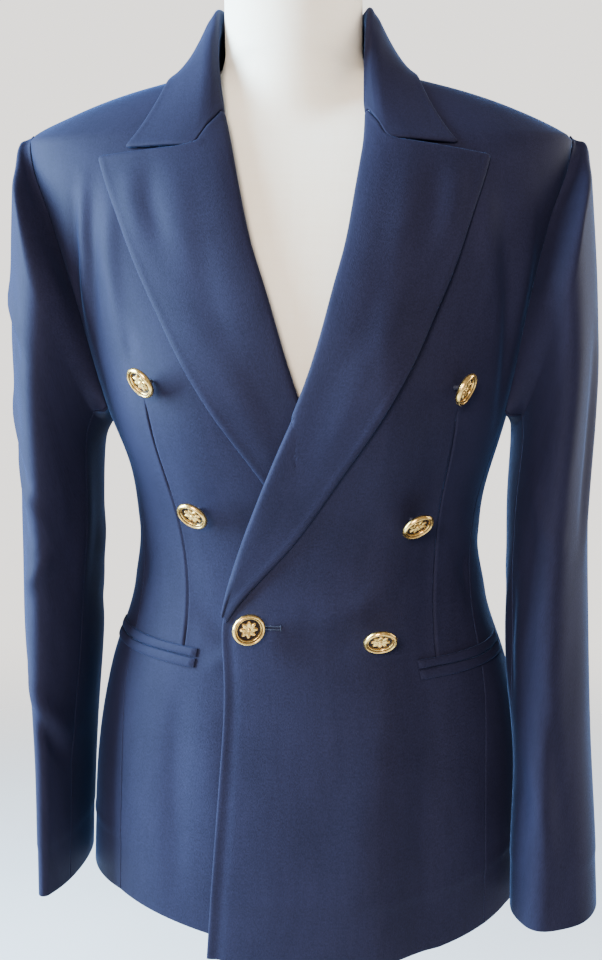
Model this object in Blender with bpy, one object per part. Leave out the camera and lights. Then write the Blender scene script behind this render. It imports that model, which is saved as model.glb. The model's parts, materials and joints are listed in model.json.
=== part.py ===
"""Double breasted blazer on a limbless dress form. Metres, +Z up, the front faces -Y.

The coat is one curved surface, cut into the pieces that are sewn together. A place on it has an
angle round the body (0 at the centre front, 90 at the wearer's left side, 180 at the centre back)
and a height above the floor. Lapels, collar, pockets and buttons are places on that surface moved
out from it. Every piece is a closed solid with its own wall.
"""

import math

import bmesh
import bpy
import numpy as np
from mathutils import Matrix, Vector

for thing in list(bpy.data.objects):
    bpy.data.objects.remove(thing, do_unlink=True)

CLOTH = 0.0018            # wall of the blazer's cloth
SEAM = 0.00034            # space left between two pieces at a seam
WELD = 1e-6               # points closer than this are one
ARMHOLE_LOW = 1.172       # lowest height of the armhole
NECK_HIGH = 1.4345        # height of the neck seam at the shoulder
NECK_RADIUS = 0.0545      # neck of the dress form
BUST_DEPTH = 0.009        # how far the chest is fuller at its fullest

# half width of the coat at each height, up to the shoulder's end
SIDE = (
    (0.740, 0.1822), (0.770, 0.1815), (0.830, 0.1795), (0.880, 0.1768), (0.930, 0.1700),
    (0.970, 0.1600), (1.000, 0.1492), (1.030, 0.1412), (1.065, 0.1378), (1.100, 0.1402),
    (1.145, 0.1526), (1.190, 0.1660), (1.235, 0.1800), (1.280, 0.1935), (1.325, 0.2060),
    (1.360, 0.2145), (1.378, 0.2165),
)
# line of the shoulder seam: distance from the centre, height
SHOULDER = (
    (0.0645, 1.4345), (0.0820, 1.4290), (0.1000, 1.4240), (0.1314, 1.4160), (0.1620, 1.4060),
    (0.1864, 1.3955), (0.2060, 1.3845), (0.2165, 1.3780),
)
# height, depth in front of the middle, depth behind it, place of the middle
DEPTH = (
    (0.740, 0.131, 0.125, 0.002), (0.850, 0.126, 0.126, 0.002), (0.930, 0.119, 0.119, 0.002),
    (1.000, 0.110, 0.103, 0.001), (1.065, 0.104, 0.092, 0.000), (1.120, 0.114, 0.095, 0.000),
    (1.175, 0.125, 0.104, 0.002), (1.220, 0.122, 0.109, 0.004), (1.280, 0.110, 0.110, 0.008),
    (1.330, 0.093, 0.104, 0.011), (1.380, 0.066, 0.089, 0.013), (1.410, 0.047, 0.074, 0.013),
    (1.4345, 0.034, 0.063, 0.012),
)
# height, how far the middle stands to the wearer's left
LEAN = (
    (0.740, 0.0065), (0.900, 0.0065), (1.065, 0.0060), (1.200, 0.0030), (1.300, -0.0020),
    (1.380, -0.0060), (1.440, -0.0085), (1.550, -0.0100),
)
# height, squareness of the section
SQUARE = ((0.740, 2.25), (1.000, 2.20), (1.180, 2.25), (1.300, 2.35), (1.4345, 2.20))

# the coat's front: height, distance from the centre of the folded edge, or of the cut edge below
ROLL = (
    (0.740, -0.0665), (0.770, -0.0648), (0.830, -0.0610), (0.903, -0.0568), (0.980, -0.0552),
    (1.014, -0.0552), (1.042, -0.0470), (1.070, -0.0386), (1.098, -0.0296), (1.127, -0.0202),
    (1.158, -0.0090), (1.183, 0.0012), (1.204, 0.0082), (1.230, 0.0152), (1.263, 0.0240),
    (1.290, 0.0318), (1.320, 0.0382), (1.350, 0.0440), (1.380, 0.0502), (1.400, 0.0552),
    (1.420, 0.0600), (1.4345, 0.0630),
)
# height on the fold, then the lapel's outer edge: distance from the centre, height
LAPEL = (
    (1.386, 0.1465, 1.3595), (1.368, 0.1398, 1.3400), (1.346, 0.1310, 1.3180),
    (1.322, 0.1215, 1.2940), (1.298, 0.1110, 1.2690), (1.272, 0.0985, 1.2430),
    (1.245, 0.0850, 1.2160), (1.216, 0.0690, 1.1880), (1.184, 0.0505, 1.1600),
    (1.150, 0.0290, 1.1290), (1.112, 0.0060, 1.0930), (1.076, -0.0175, 1.0610),
    (1.048, -0.0370, 1.0390), (1.030, -0.0475, 1.0250),
)
NOTCH = (0.0704, 1.3645)       # its right side hangs 2.5 mm lower, its left as much higher
# angle of each long seam at each height
SIDE_SEAM = (
    (0.740, 49.0), (0.830, 50.0), (0.900, 51.5), (0.957, 56.0), (1.000, 60.0), (1.065, 65.0),
    (1.172, 71.0),
)
BACK_SEAM = ((0.740, 124.0), (0.900, 124.0), (1.065, 119.0), (1.172, 112.0))
# height, angle of the armhole in front, angle behind
ARMHOLE = (
    (1.172, 71.0, 112.0), (1.196, 69.5, 111.0), (1.220, 67.0, 110.5), (1.255, 65.0, 111.0),
    (1.281, 65.0, 112.5), (1.307, 66.0, 114.0), (1.330, 68.5, 112.0), (1.355, 74.0, 107.0),
    (1.370, 80.5, 100.0), (1.378, 89.0, 91.0),
)
# angle from the centre front, height of the hem on each front
HEM_LEFT = (
    (-25.0, 0.7610), (20.0, 0.7620), (35.0, 0.7650), (50.0, 0.7730), (60.0, 0.7790), (90.0, 0.7860),
    (180.0, 0.7860),
)
HEM_RIGHT = (
    (-25.0, 0.7700), (20.0, 0.7745), (38.0, 0.7830), (50.0, 0.7885), (60.0, 0.7880), (90.0, 0.7860),
    (180.0, 0.7860),
)


def spline(table):
    """A natural cubic through rows of a table; its first column is the place, the rest are values."""
    table = np.array(sorted(table), float)
    place, values = table[:, 0], table[:, 1:]
    step = np.diff(place)[:, None]
    slope = np.diff(values, axis=0) / step
    system = np.eye(len(place))
    right = np.zeros_like(values)
    for i in range(1, len(place) - 1):
        before, after = step[i - 1, 0], step[i, 0]
        system[i, i - 1:i + 2] = before, 2 * (before + after), after
        right[i] = 6 * (slope[i] - slope[i - 1])
    bend = np.linalg.solve(system, right)

    def value(x):
        x = np.clip(np.asarray(x, float), place[0], place[-1])
        i = np.clip(np.searchsorted(place, x) - 1, 0, len(place) - 2)
        width = step[i, 0]
        b = (x - place[i]) / width
        a = 1 - b
        curve = (a**3 - a)[..., None] * bend[i] + (b**3 - b)[..., None] * bend[i + 1]
        found = a[..., None] * values[i] + b[..., None] * values[i + 1] + curve * (width**2 / 6)[..., None]
        return found[..., 0] if values.shape[1] == 1 else found

    return value


def line(table):
    """Straight lines through the rows of a table."""
    table = np.array(sorted(table), float)
    return lambda x: np.interp(x, table[:, 0], table[:, 1])


def smooth(low, high, x):
    x = np.clip((np.asarray(x, float) - low) / (high - low), 0, 1)
    return x * x * (3 - 2 * x)


side_at = spline(SIDE)
depth_at = spline(DEPTH)
lean_at = spline(LEAN)
square_at = line(SQUARE)
ridge_x = np.linspace(0.0645, 0.2165, 300)
ridge_z = spline(SHOULDER)(ridge_x)
roll_at = spline(ROLL)
lapel_at = spline(LAPEL)
side_seam = spline(SIDE_SEAM)
back_seam = spline(BACK_SEAM)
armhole_at = spline(ARMHOLE)


def half_width(z):
    return np.where(z < 1.378, side_at(z), np.interp(-np.asarray(z, float), -ridge_z, ridge_x))


def bust(across, z):
    """How far the front is fuller on each side of the chest."""
    return BUST_DEPTH * np.exp(-((np.abs(across) - 0.078) / 0.052)**2 - ((z - 1.178) / 0.055)**2)


def base(angle, z):
    """The coat's inner surface at an angle in degrees and a height."""
    angle, z = np.broadcast_arrays(np.radians(angle), np.asarray(z, float))
    s, c = np.sin(angle), np.cos(angle)
    n = square_at(z)
    reach = (np.abs(s)**n + np.abs(c)**n)**(-1 / n)
    front, back, middle = np.moveaxis(depth_at(z), -1, 0)
    across = half_width(z) * reach * s
    y = middle - np.where(c > 0, front, back) * reach * c
    y = y - bust(across, z) * np.clip(2 * c, 0, 1)
    return np.stack([lean_at(z) + across, y, z], -1)


def normal(angle, z):
    along = base(angle + 0.02, z) - base(angle - 0.02, z)
    z = np.minimum(z, NECK_HIGH - 0.0003)
    up = base(angle, z + 0.0002) - base(angle, z - 0.0002)
    found = np.cross(along, up)
    return found / np.linalg.norm(found, axis=-1, keepdims=True)


def coat(angle, z, out=0.0):
    """A place on the coat, moved out from its inner surface."""
    angle, z, out = (np.asarray(value, float) for value in (angle, z, out))
    angle, z, out = np.broadcast_arrays(angle, z, out)
    return base(angle, z) + normal(angle, z) * out[..., None]


def angle_of(across, z):
    """The angle of the front's place at a distance from the centre and a height."""
    n = square_at(z)
    q = np.clip(np.abs(across) / half_width(z), 0, 0.99999)
    return np.degrees(np.sign(across) * np.arctan2(q, (1 - q**n)**(1 / n)))


def over_lift(across, z):
    """How far the wearer's left front stands out, so that it passes over the right front."""
    inner = 1 - smooth(0.058, 0.100, across)
    low = 0.0054 + 0.0045 * (1 - smooth(0.80, 0.97, z))
    high = 0.0092 * (1 - smooth(1.21, 1.31, z))
    return inner * (low + (high - low) * smooth(0.985, 1.035, z))


def no_lift(across, z):
    return np.zeros(np.broadcast(across, z).shape)


# ---- making objects ----

def finish(name, colour, roughness, metallic=0.0):
    """A plain material of one colour."""
    made = bpy.data.materials.new(name)
    made.use_nodes = True
    surface = made.node_tree.nodes["Principled BSDF"]
    surface.inputs["Base Color"].default_value = (*colour, 1.0)
    surface.inputs["Roughness"].default_value = roughness
    surface.inputs["Metallic"].default_value = metallic
    return made


NAVY = finish("navy_cloth", (0.030, 0.046, 0.120), 0.85)
GOLD = finish("gold_metal", (0.80, 0.62, 0.33), 0.25, 1.0)
LINEN = finish("cream_linen", (0.80, 0.75, 0.67), 0.90)
STAND = finish("white_metal", (0.78, 0.77, 0.75), 0.45)
SHARP_ANGLE = math.radians(40)


def keep(name, shape, material):
    """An object of triangles from a finished bmesh, its faces turned outward."""
    bmesh.ops.recalc_face_normals(shape, faces=shape.faces)
    bmesh.ops.triangulate(shape, faces=shape.faces, quad_method="SHORT_EDGE")
    mesh = bpy.data.meshes.new(name)
    shape.to_mesh(mesh)
    shape.free()
    mesh.materials.append(material)
    mesh.shade_smooth()
    mesh.set_sharp_from_angle(angle=SHARP_ANGLE)
    made = bpy.data.objects.new(name, mesh)
    bpy.context.scene.collection.objects.link(made)
    return made


def grid(shape, points):
    """A grid laid through rows and columns of points."""
    rows, columns = points.shape[:2]
    made = bmesh.ops.create_grid(shape, x_segments=columns - 1, y_segments=rows - 1, size=1)
    for vert, point in zip(made["verts"], points.reshape(-1, 3)):
        vert.co = point


def sheet(name, outer, inner):
    """A piece of cloth: two grids, one for each face, joined all round."""
    shape = bmesh.new()
    grid(shape, outer)
    grid(shape, inner)
    bmesh.ops.bridge_loops(shape, edges=[edge for edge in shape.edges if edge.is_boundary])
    return keep(name, shape, NAVY)


def tube(name, rings, material):
    """A solid through rings of points, closed flat at both ends."""
    shape = bmesh.new()
    grid(shape, np.concatenate([rings, rings[:, :1]], axis=1))
    bmesh.ops.remove_doubles(shape, verts=shape.verts, dist=WELD)
    bmesh.ops.holes_fill(shape, edges=[edge for edge in shape.edges if edge.is_boundary], sides=0)
    return keep(name, shape, material)


def turned(profile, steps):
    """A shape turned about Z from rows of (radius, height), from one end of the axis to the other."""
    shape = bmesh.new()
    verts = [shape.verts.new((radius, 0.0, height)) for radius, height in profile]
    edges = [shape.edges.new(pair) for pair in zip(verts, verts[1:])]
    bmesh.ops.spin(shape, geom=verts + edges, axis=(0, 0, 1), cent=(0, 0, 0), angle=2 * math.pi,
                   steps=steps, use_merge=True)
    bmesh.ops.remove_doubles(shape, verts=shape.verts, dist=WELD)
    return shape


# ---- the cloth body: two fronts, two sides, two backs ----

LOW_ROWS = (0.0, 0.06, 0.20, 0.34, 0.48, 0.60, 0.70, 0.79, 0.88, 1.0)
MID_ROWS = (1.196, 1.220, 1.245, 1.270, 1.300, 1.330, 1.356)
TOP_ROWS = (1.378, 1.3880, 1.3980, 1.4075, 1.4160, 1.4240, 1.4300, NECK_HIGH)


def rows_for(top):
    """Rows of a panel: shares of the way from the hem to the armhole, then level ones up to the neck."""
    low = [("hem", share) for share in LOW_ROWS]
    return low + [("flat", z) for z in MID_ROWS + TOP_ROWS] if top else low


def panel(name, side, start, end, columns, hem, lift, top=True):
    """A body panel between two lines; side is 1 for the wearer's left and -1 for the right."""
    outer, inner = [], []
    share = np.linspace(0, 1, columns)
    for kind, value in rows_for(top):
        level = value if kind == "flat" else ARMHOLE_LOW
        z = np.full(columns, level)
        for _ in range(3):
            first, last = start(z[0]), end(z[-1])
            angle = first + (last - first) * share
            if kind == "hem":
                edge = hem(angle)
                z = edge + (ARMHOLE_LOW - edge) * value
        width = np.linalg.norm(base(angle[:1] + 0.5, z[:1]) - base(angle[:1] - 0.5, z[:1]))
        width_end = np.linalg.norm(base(angle[-1:] + 0.5, z[-1:]) - base(angle[-1:] - 0.5, z[-1:]))
        first, last = first + SEAM / 2 / width, last - SEAM / 2 / width_end
        angle = first + (last - first) * share
        across = base(angle, z)[:, 0] - lean_at(z)
        out = lift(across, z)
        for face, extra in ((outer, CLOTH), (inner, 0.0)):
            place = coat(angle, z, out + extra)
            if side < 0:
                place[:, 0] = 2 * lean_at(z) - place[:, 0]
            face.append(place)
    return sheet(name, np.array(outer), np.array(inner))


def fold_at(side, z):
    """Distance from the centre of a front's folded or cut edge; the left one lies further out."""
    return roll_at(z) + (0.0095 * smooth(1.08, 1.24, z) * (1 - smooth(1.36, 1.43, z)) if side > 0 else 0.0)


def left_edge(z):
    return float(angle_of(fold_at(1, z), np.asarray(z)))


def right_edge(z):
    return float(angle_of(fold_at(-1, z), np.asarray(z)))


def front_end(z):
    if z < ARMHOLE_LOW:
        return float(side_seam(z))
    return float(armhole_at(z)[0]) if z < 1.378 else 90.0


def back_start(z):
    if z < ARMHOLE_LOW:
        return float(back_seam(z))
    return float(armhole_at(z)[1]) if z < 1.378 else 90.0


def side_front(z):
    return float(side_seam(z))


def side_back(z):
    return float(back_seam(z))


def centre_back(z):
    return 180.0


def build_body():
    hem_left, hem_right = line(HEM_LEFT), line(HEM_RIGHT)
    panel("front_left", 1, left_edge, front_end, 14, hem_left, over_lift)
    panel("front_right", -1, right_edge, front_end, 14, hem_right, no_lift)
    panel("side_left", 1, side_front, side_back, 8, hem_left, no_lift, top=False)
    panel("side_right", -1, side_front, side_back, 8, hem_right, no_lift, top=False)
    panel("back_left", 1, back_start, centre_back, 10, hem_left, no_lift)
    panel("back_right", -1, back_start, centre_back, 10, hem_right, no_lift)


# ---- lapels: the fronts folded back on themselves ----

# the fold round the front's edge: distance past the edge and rise of its outer face, then of its inner face
FOLD = ((0.0006, 0.0, 0.0006, CLOTH), (0.0026, 0.0004, 0.0011, CLOTH + 0.0001),
        (0.0040, 0.0028, 0.0016, CLOTH + 0.0010), (0.0020, 0.0053, 0.0007, CLOTH + 0.0020))
LAPEL_SHARES = (0.10, 0.20, 0.34, 0.50, 0.66, 0.82, 1.0)
LAPEL_LEVELS = tuple(row[0] for row in LAPEL)


def lapel(name, side, lift):
    """A folded lapel on its front; its fold passes round the front's edge."""
    outer, inner = [], []
    share = np.array(LAPEL_SHARES)
    fold_rows = np.array(FOLD)
    for row, level in enumerate(LAPEL_LEVELS):
        fold = float(fold_at(side, level))
        far_x, far_z = lapel_at(level)
        x = fold + (far_x - fold) * share
        z = level + (far_z - level) * share
        top = (1 - smooth(0, 2.2, row)) if row < 3 else 0.0
        kink = np.interp(share, (0, 0.2, 1), (0, 1, 0)) * top
        x = x + kink * (NOTCH[0] - (fold + (far_x - fold) * 0.2))
        z = z + kink * (NOTCH[1] + 0.0025 * side - (level + (far_z - level) * 0.2)) - 0.0006 * (row == 0)
        puff = 0.0045 * float(smooth(1.16, 1.36, level)) + 0.0002
        rise = CLOTH + 0.0026 + puff * np.sin(np.pi * share**0.6)
        narrow = float(np.clip((far_x - fold) / 0.012, 0.2, 1.0))
        past_high = fold - fold_rows[:, 0] - puff * 0.4 * (fold_rows[:, 1] > 0.001)
        past_low = fold - fold_rows[:, 2] * (0.6 + 0.4 * narrow)
        x_high, x_low = np.concatenate([past_high, x]), np.concatenate([past_low, x])
        z = np.concatenate([np.full(len(FOLD), z[0] + (level - z[0]) * 1.0), z])
        out_high = np.concatenate([fold_rows[:, 1] + puff * 0.3 * (fold_rows[:, 1] > 0.003), rise + CLOTH])
        out_low = np.concatenate([fold_rows[:, 3], rise])
        for face, xs, out in ((outer, x_high, out_high), (inner, x_low, out_low)):
            edge = np.maximum(xs, fold)
            place = coat(angle_of(xs, z), z, lift(edge, z) + out)
            if side < 0:
                place[:, 0] = 2 * lean_at(z) - place[:, 0]
            face.append(place)
    return sheet(name, np.array(outer), np.array(inner))


# ---- collar: stand and fall, one folded strip round the neck ----

# share of the way from the centre back to the front end: fold (x, y, z)
COLLAR_FOLD = (
    (0.00, 0.0000, 0.0735, 1.4740), (0.18, 0.0290, 0.0675, 1.4760), (0.34, 0.0490, 0.0470, 1.4810),
    (0.46, 0.0575, 0.0200, 1.4840), (0.58, 0.0582, -0.0030, 1.4700), (0.72, 0.0570, -0.0225, 1.4430),
    (0.86, 0.0535, -0.0370, 1.4150), (1.00, 0.0496, -0.0476, 1.3940),
)
# the same shares: outer edge of the fall in plan (x, y)
COLLAR_EDGE = (
    (0.00, 0.0000, 0.0930), (0.18, 0.0460, 0.0870), (0.34, 0.0780, 0.0610), (0.46, 0.0937, 0.0315),
    (0.58, 0.0973, 0.0060), (0.72, 0.0978, -0.0150), (0.86, 0.1048, -0.0365), (0.93, 0.1140, -0.0450),
    (1.00, 0.1246, -0.0490),
)
# the same shares: height of the neck seam, which follows the fronts' edges, then the back's neck
COLLAR_SEAM = ((0.00, 1.4345), (0.46, 1.4345), (0.58, 1.4320), (0.72, 1.4180), (0.86, 1.4030), (1.00, 1.3890))
# the back's part of the seam in plan (x, y)
COLLAR_NAPE = (
    (0.00, 0.0000, 0.0742), (0.18, 0.0300, 0.0687), (0.34, 0.0515, 0.0480), (0.46, 0.0612, 0.0200),
    (0.60, 0.0615, 0.0000),
)
fold_line = spline(COLLAR_FOLD)
edge_line = spline(COLLAR_EDGE)
seam_line = line(COLLAR_SEAM)
nape_line = spline(COLLAR_NAPE)
FALL_SHARES = (0.14, 0.30, 0.46, 0.64, 0.82, 1.0)
COLLAR_SHARES = (0.0, 0.09, 0.18, 0.28, 0.38, 0.47, 0.56, 0.65, 0.74, 0.83, 0.91, 0.97, 1.0)


def inside(x, y, z):
    """Below 1 inside the coat's section at a height."""
    n = square_at(z)
    front, back, middle = np.moveaxis(depth_at(z), -1, 0)
    away = y - middle
    return (np.abs(x) / half_width(z))**n + (np.abs(away) / np.where(away < 0, front, back))**n


def shoulder_top(x, y):
    """Height and upward direction of the coat's shoulders over a place in plan."""
    low, high = np.full(x.shape, 1.25), np.full(x.shape, NECK_HIGH)
    for _ in range(30):
        middle = (low + high) / 2
        under = inside(x, y, middle) < 1
        low, high = np.where(under, middle, low), np.where(under, high, middle)
    z = np.minimum(low, NECK_HIGH - 0.002)
    e = 0.0005
    slope = np.stack([inside(x + e, y, z) - inside(x - e, y, z), inside(x, y + e, z) - inside(x, y - e, z),
                      inside(x, y, z + e) - inside(x, y, z - e)], -1)
    return low, slope / np.linalg.norm(slope, axis=-1, keepdims=True)


def collar():
    """The middle surface of the collar first, then its two faces."""
    shares = np.concatenate([-np.array(COLLAR_SHARES[::-1]), COLLAR_SHARES[1:]])
    ends = {side: base(angle_of(NOTCH[0], np.asarray(NOTCH[1] + 0.0025 * side + 0.0008)),
                       NOTCH[1] + 0.0025 * side + 0.0008) for side in (-1, 1)}
    tip = base(angle_of(0.1246, np.asarray(1.3645)), 1.3645)
    rows = []
    for share in shares:
        s, side = abs(share), np.sign(share) or 1.0
        fx, fy, fz = fold_line(s)
        fx = fx + 0.0035 * float(smooth(0.70, 1.0, s)) * (side > 0)
        ex, ey = edge_line(s)
        sz = float(seam_line(s))
        last = float(smooth(0.80, 1.0, s))
        sx, sy = nape_line(min(s, 0.60))
        front = float(smooth(0.50, 0.62, s))
        on_front = float(fold_at(side, sz)) - 0.0019 - 0.0022 * last
        sx = sx + (on_front - sx) * front
        sy = sy + (base(angle_of(on_front, np.asarray(sz)), sz)[1] + 0.0002 - sy) * front
        last = float(smooth(0.80, 1.0, s))
        ex, ey = ex, ey + (tip[1] - (-0.0490)) * last
        w = np.array(FALL_SHARES)
        x, y = fx + (ex - fx) * w, fy + (ey - fy) * w
        kink = np.interp(w, (0, 0.30, 1), (0, 1, 0)) * last**2
        x = x + kink * (NOTCH[0] - (fx + (ex - fx) * 0.30))
        y = y + kink * (ends[1 if side > 0 else -1][1] - (fy + (ey - fy) * 0.30))
        height, up = shoulder_top(x, y)
        start, _ = shoulder_top(np.array([fx]), np.array([fy]))
        lift = (fz - start[0]) * (1 - w)**1.2
        clear = CLOTH + 0.0024 + 0.0025 * np.sin(np.pi * w) * last + CLOTH / 2
        fall = np.stack([x, y, height + lift], -1) + up * clear[:, None]
        away = np.array([ex - fx, ey - fy, 0.0])
        away /= np.linalg.norm(away)
        fold = np.array([fx, fy, fz])
        seam = np.array([sx, sy, sz + 0.0014])
        tall = max(fz - sz, 0.003)
        stand = [seam, seam + (fold - seam) * 0.5]
        below = fold - (0, 0, min(0.004, tall * 0.3))
        turn = [below, fold + away * 0.0018, fold + away * 0.0040 - (0, 0, 0.0018)]
        row = np.array(stand + turn + list(fall))
        row[:, 0] *= side
        row[:, 0] += lean_at(row[:, 2])
        rows.append(row)
    middle = np.array(rows)
    along = np.gradient(middle, axis=0)
    across = np.gradient(middle, axis=1)
    way = np.cross(across, along)
    way /= np.linalg.norm(way, axis=-1, keepdims=True)
    return sheet("collar", middle + way * CLOTH / 2, middle - way * CLOTH / 2)


# ---- sleeves: a ring at the armhole, a sleeve head, then a tube to the cuff ----

# height, centre across, centre fore and aft, half width, half depth, turn in degrees, rise of the outer side
SLEEVE_LEFT = (
    (1.252, 0.1970, 0.002, 0.0302, 0.0760, 0.0, 0.100),
    (1.190, 0.1980, -0.002, 0.0320, 0.0745, 0.0, 0.055),
    (1.120, 0.1937, -0.008, 0.0310, 0.0700, 2.0, 0.025),
    (1.040, 0.1930, -0.018, 0.0308, 0.0650, 6.0, 0.010),
    (0.970, 0.1940, -0.033, 0.0310, 0.0590, 10.0, 0.005),
    (0.900, 0.1970, -0.054, 0.0285, 0.0525, 17.0, 0.002),
    (0.840, 0.1970, -0.071, 0.0305, 0.0480, 22.0, 0.000),
    (0.790, 0.1975, -0.081, 0.0315, 0.0450, 25.0, 0.000),
)
SLEEVE_RIGHT = (
    (1.252, 0.1957, 0.002, 0.0290, 0.0760, 0.0, 0.100),
    (1.190, 0.2030, -0.002, 0.0298, 0.0745, 0.0, 0.055),
    (1.120, 0.2042, -0.006, 0.0285, 0.0700, 0.0, 0.025),
    (1.040, 0.2036, -0.012, 0.0270, 0.0650, -2.0, 0.010),
    (0.970, 0.2025, -0.020, 0.0245, 0.0620, -4.0, 0.005),
    (0.900, 0.1998, -0.030, 0.0160, 0.0580, -5.0, 0.002),
    (0.840, 0.1992, -0.038, 0.0140, 0.0540, -5.0, 0.000),
    (0.786, 0.1990, -0.043, 0.0130, 0.0520, -5.0, 0.000),
)
CAP_STEPS = (0.0, 0.14, 0.32, 0.52, 0.76)
TUBE_STEPS = (0.0, 0.10, 0.22, 0.35, 0.48, 0.61, 0.74, 0.87, 1.0)
UPPER_TURNS = (-0.21, -0.16, -0.11, -0.065, -0.025, 0.0, 0.025, 0.065, 0.12, 0.18, 0.24, 0.30, 0.36, 0.42)
UNDER_TURNS = (0.42, 0.47, 0.52, 0.57, 0.63, 0.68, 0.74, 0.79)


def armhole_ring(turns):
    """Angles and heights round the armhole: 0 at the shoulder, a quarter in front, a half below."""
    zs = np.linspace(0, 1, 60)
    down = 1.378 + (ARMHOLE_LOW - 1.378) * zs**0.9
    front = np.stack([armhole_at(down)[:, 0], down], -1)
    back = np.stack([armhole_at(down)[:, 1], down], -1)
    under = np.linspace(0, 1, 16)[1:-1]
    bottom = np.stack([71.0 + (112.0 - 71.0) * under, np.full(14, ARMHOLE_LOW)], -1)
    loop = np.concatenate([front, bottom, back[::-1]])
    points = base(loop[:, 0], loop[:, 1])
    length = np.concatenate([[0], np.cumsum(np.linalg.norm(np.diff(points, axis=0), axis=1))])
    wanted = np.asarray(turns) * length[-1]
    angle, z = np.interp(wanted, length, loop[:, 0]), np.interp(wanted, length, loop[:, 1])
    return angle, z


def sleeve_surface(turns, table):
    """The sleeve's middle surface: rows from the armhole to the cuff, a column for each turn."""
    at = spline([(-row[0],) + row[1:] for row in table])
    top, cuff = table[0][0], table[-1][0]
    phase = turns * 2 * np.pi
    angle, z = armhole_ring(turns % 1.0)
    low = smooth(0.30, 0.46, np.minimum(turns % 1.0, 1 - turns % 1.0))
    seat = coat(angle, z, CLOTH + 0.0007 + 0.0014 * low)
    way = normal(angle, z) + np.array([0.6, 0, 0])
    way /= np.linalg.norm(way, axis=-1, keepdims=True)

    def ring(level):
        across, fore, wide, deep, turn, rise = at(-level)
        turn = np.radians(turn)
        u, v = wide * np.cos(phase), -deep * np.sin(phase)
        x = across + u * np.cos(turn) + v * np.sin(turn)
        y = fore + v * np.cos(turn) - u * np.sin(turn)
        z = level + rise * np.cos(phase)
        return np.stack([x + lean_at(z), y, z], -1)

    first, below = ring(top), ring(top - 0.01)
    downward = (below - first) / np.linalg.norm(below - first, axis=-1, keepdims=True)
    reach = np.linalg.norm(first - seat, axis=-1, keepdims=True)
    rows = []
    for t in CAP_STEPS:
        a, b, c, d = (1 - t)**3, 3 * t * (1 - t)**2, 3 * t * t * (1 - t), t**3
        leaving, arriving = seat + way * reach * 0.38, first - downward * reach * 0.42
        rows.append(a * seat + b * leaving + c * arriving + d * first)
    rows += [ring(top + (cuff - top) * t) for t in TUBE_STEPS]
    return np.array(rows)


def sleeve(side_name, side, table):
    for part, turns in (("upper", UPPER_TURNS), ("under", UNDER_TURNS)):
        turns = np.array(turns)
        middle = sleeve_surface(turns, table)
        along = np.gradient(middle, axis=0)
        across = sleeve_surface(turns + 0.004, table) - sleeve_surface(turns - 0.004, table)
        out = np.cross(along, across)
        out /= np.linalg.norm(out, axis=-1, keepdims=True)
        for end, near in ((0, 1), (-1, -2)):
            step = middle[:, near] - middle[:, end]
            middle[:, end] += step / np.linalg.norm(step, axis=-1, keepdims=True) * SEAM * 1.4
        outer, inner = middle + out * CLOTH / 2, middle - out * CLOTH / 2
        if side < 0:
            for face in (outer, inner):
                face[..., 0] = 2 * lean_at(face[..., 2]) - face[..., 0]
        sheet(f"{part}_sleeve_{side_name}", outer, inner)


# ---- pockets: two narrow welts on each side, over the panels' cloth ----

# first angle and last angle of the welts, then the height of the slit at the first angle
POCKET_LEFT = (33.0, 79.0, 0.9800)
POCKET_RIGHT = (29.5, 78.0, 0.9856)
# distance of each welt's two long edges from the slit
WELTS = (("upper", 0.0005, 0.0069), ("lower", -0.0075, -0.0005))


def welts(name, side, pocket):
    start, stop, slit = pocket
    angle = np.linspace(start, stop, 9)
    for label, low, high in WELTS:
        outer, inner = [], []
        for share, full in ((0.0, 0.0013), (0.5, 0.0018), (1.0, 0.0013)):
            z = slit + low + (high - low) * share + 0.004 * (angle - start) / (stop - start)
            under = over_lift(base(angle, z)[:, 0] - lean_at(z), z) if side > 0 else 0.0
            for face, out in ((outer, CLOTH + 0.0018 + full), (inner, CLOTH + 0.0017)):
                place = coat(angle, z, out + under)
                if side < 0:
                    place[:, 0] = 2 * lean_at(z) - place[:, 0]
                face.append(place)
        sheet(f"pocket_{label}_welt_{name}", np.array(outer), np.array(inner))


# ---- buttons ----

# name, side, distance from the centre, height, stand-off of the back from the cloth, the way it faces
BUTTONS = (
    ("top_left", 1, 0.1111, 1.1916, 0.0103, (0.87, -0.25, -0.42)),
    ("middle_left", 1, 0.0784, 1.0970, 0.0104, (0.48, -0.47, -0.74)),
    ("low_left", 1, 0.0548, 1.0067, 0.0113, (0.14, -0.72, -0.68)),
    ("top_right", -1, 0.1030, 1.1942, 0.0103, (-0.67, -0.47, -0.58)),
    ("middle_right", -1, 0.0737, 1.1004, 0.0092, (-0.42, -0.59, -0.69)),
    ("low_right", -1, 0.0343, 1.0134, 0.0086, (0.35, -0.92, -0.18)),
)
THREAD_GAP = 0.0013       # space left between a shank's foot and the cloth
SHANK_RADIUS = 0.0018
# rows of (radius, height): shank's foot and top, back, rim, sunk ring, raised middle
BUTTON_PROFILE = (
    (0.0, -0.0100), (SHANK_RADIUS, -0.0100), (SHANK_RADIUS, 0.0), (0.0104, 0.0002), (0.0121, 0.0014),
    (0.0124, 0.0027), (0.0117, 0.0041), (0.0105, 0.0043), (0.0098, 0.0022), (0.0082, 0.0023),
    (0.0070, 0.0032), (0.0030, 0.0037), (0.0, 0.0039),
)
BUTTON_STEPS = 16
PETALS = 8
PETAL_HEIGHT = 0.0005
PETALS_REACH = (0.0028, 0.0072)       # the rosette's inner and outer radius


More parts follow.
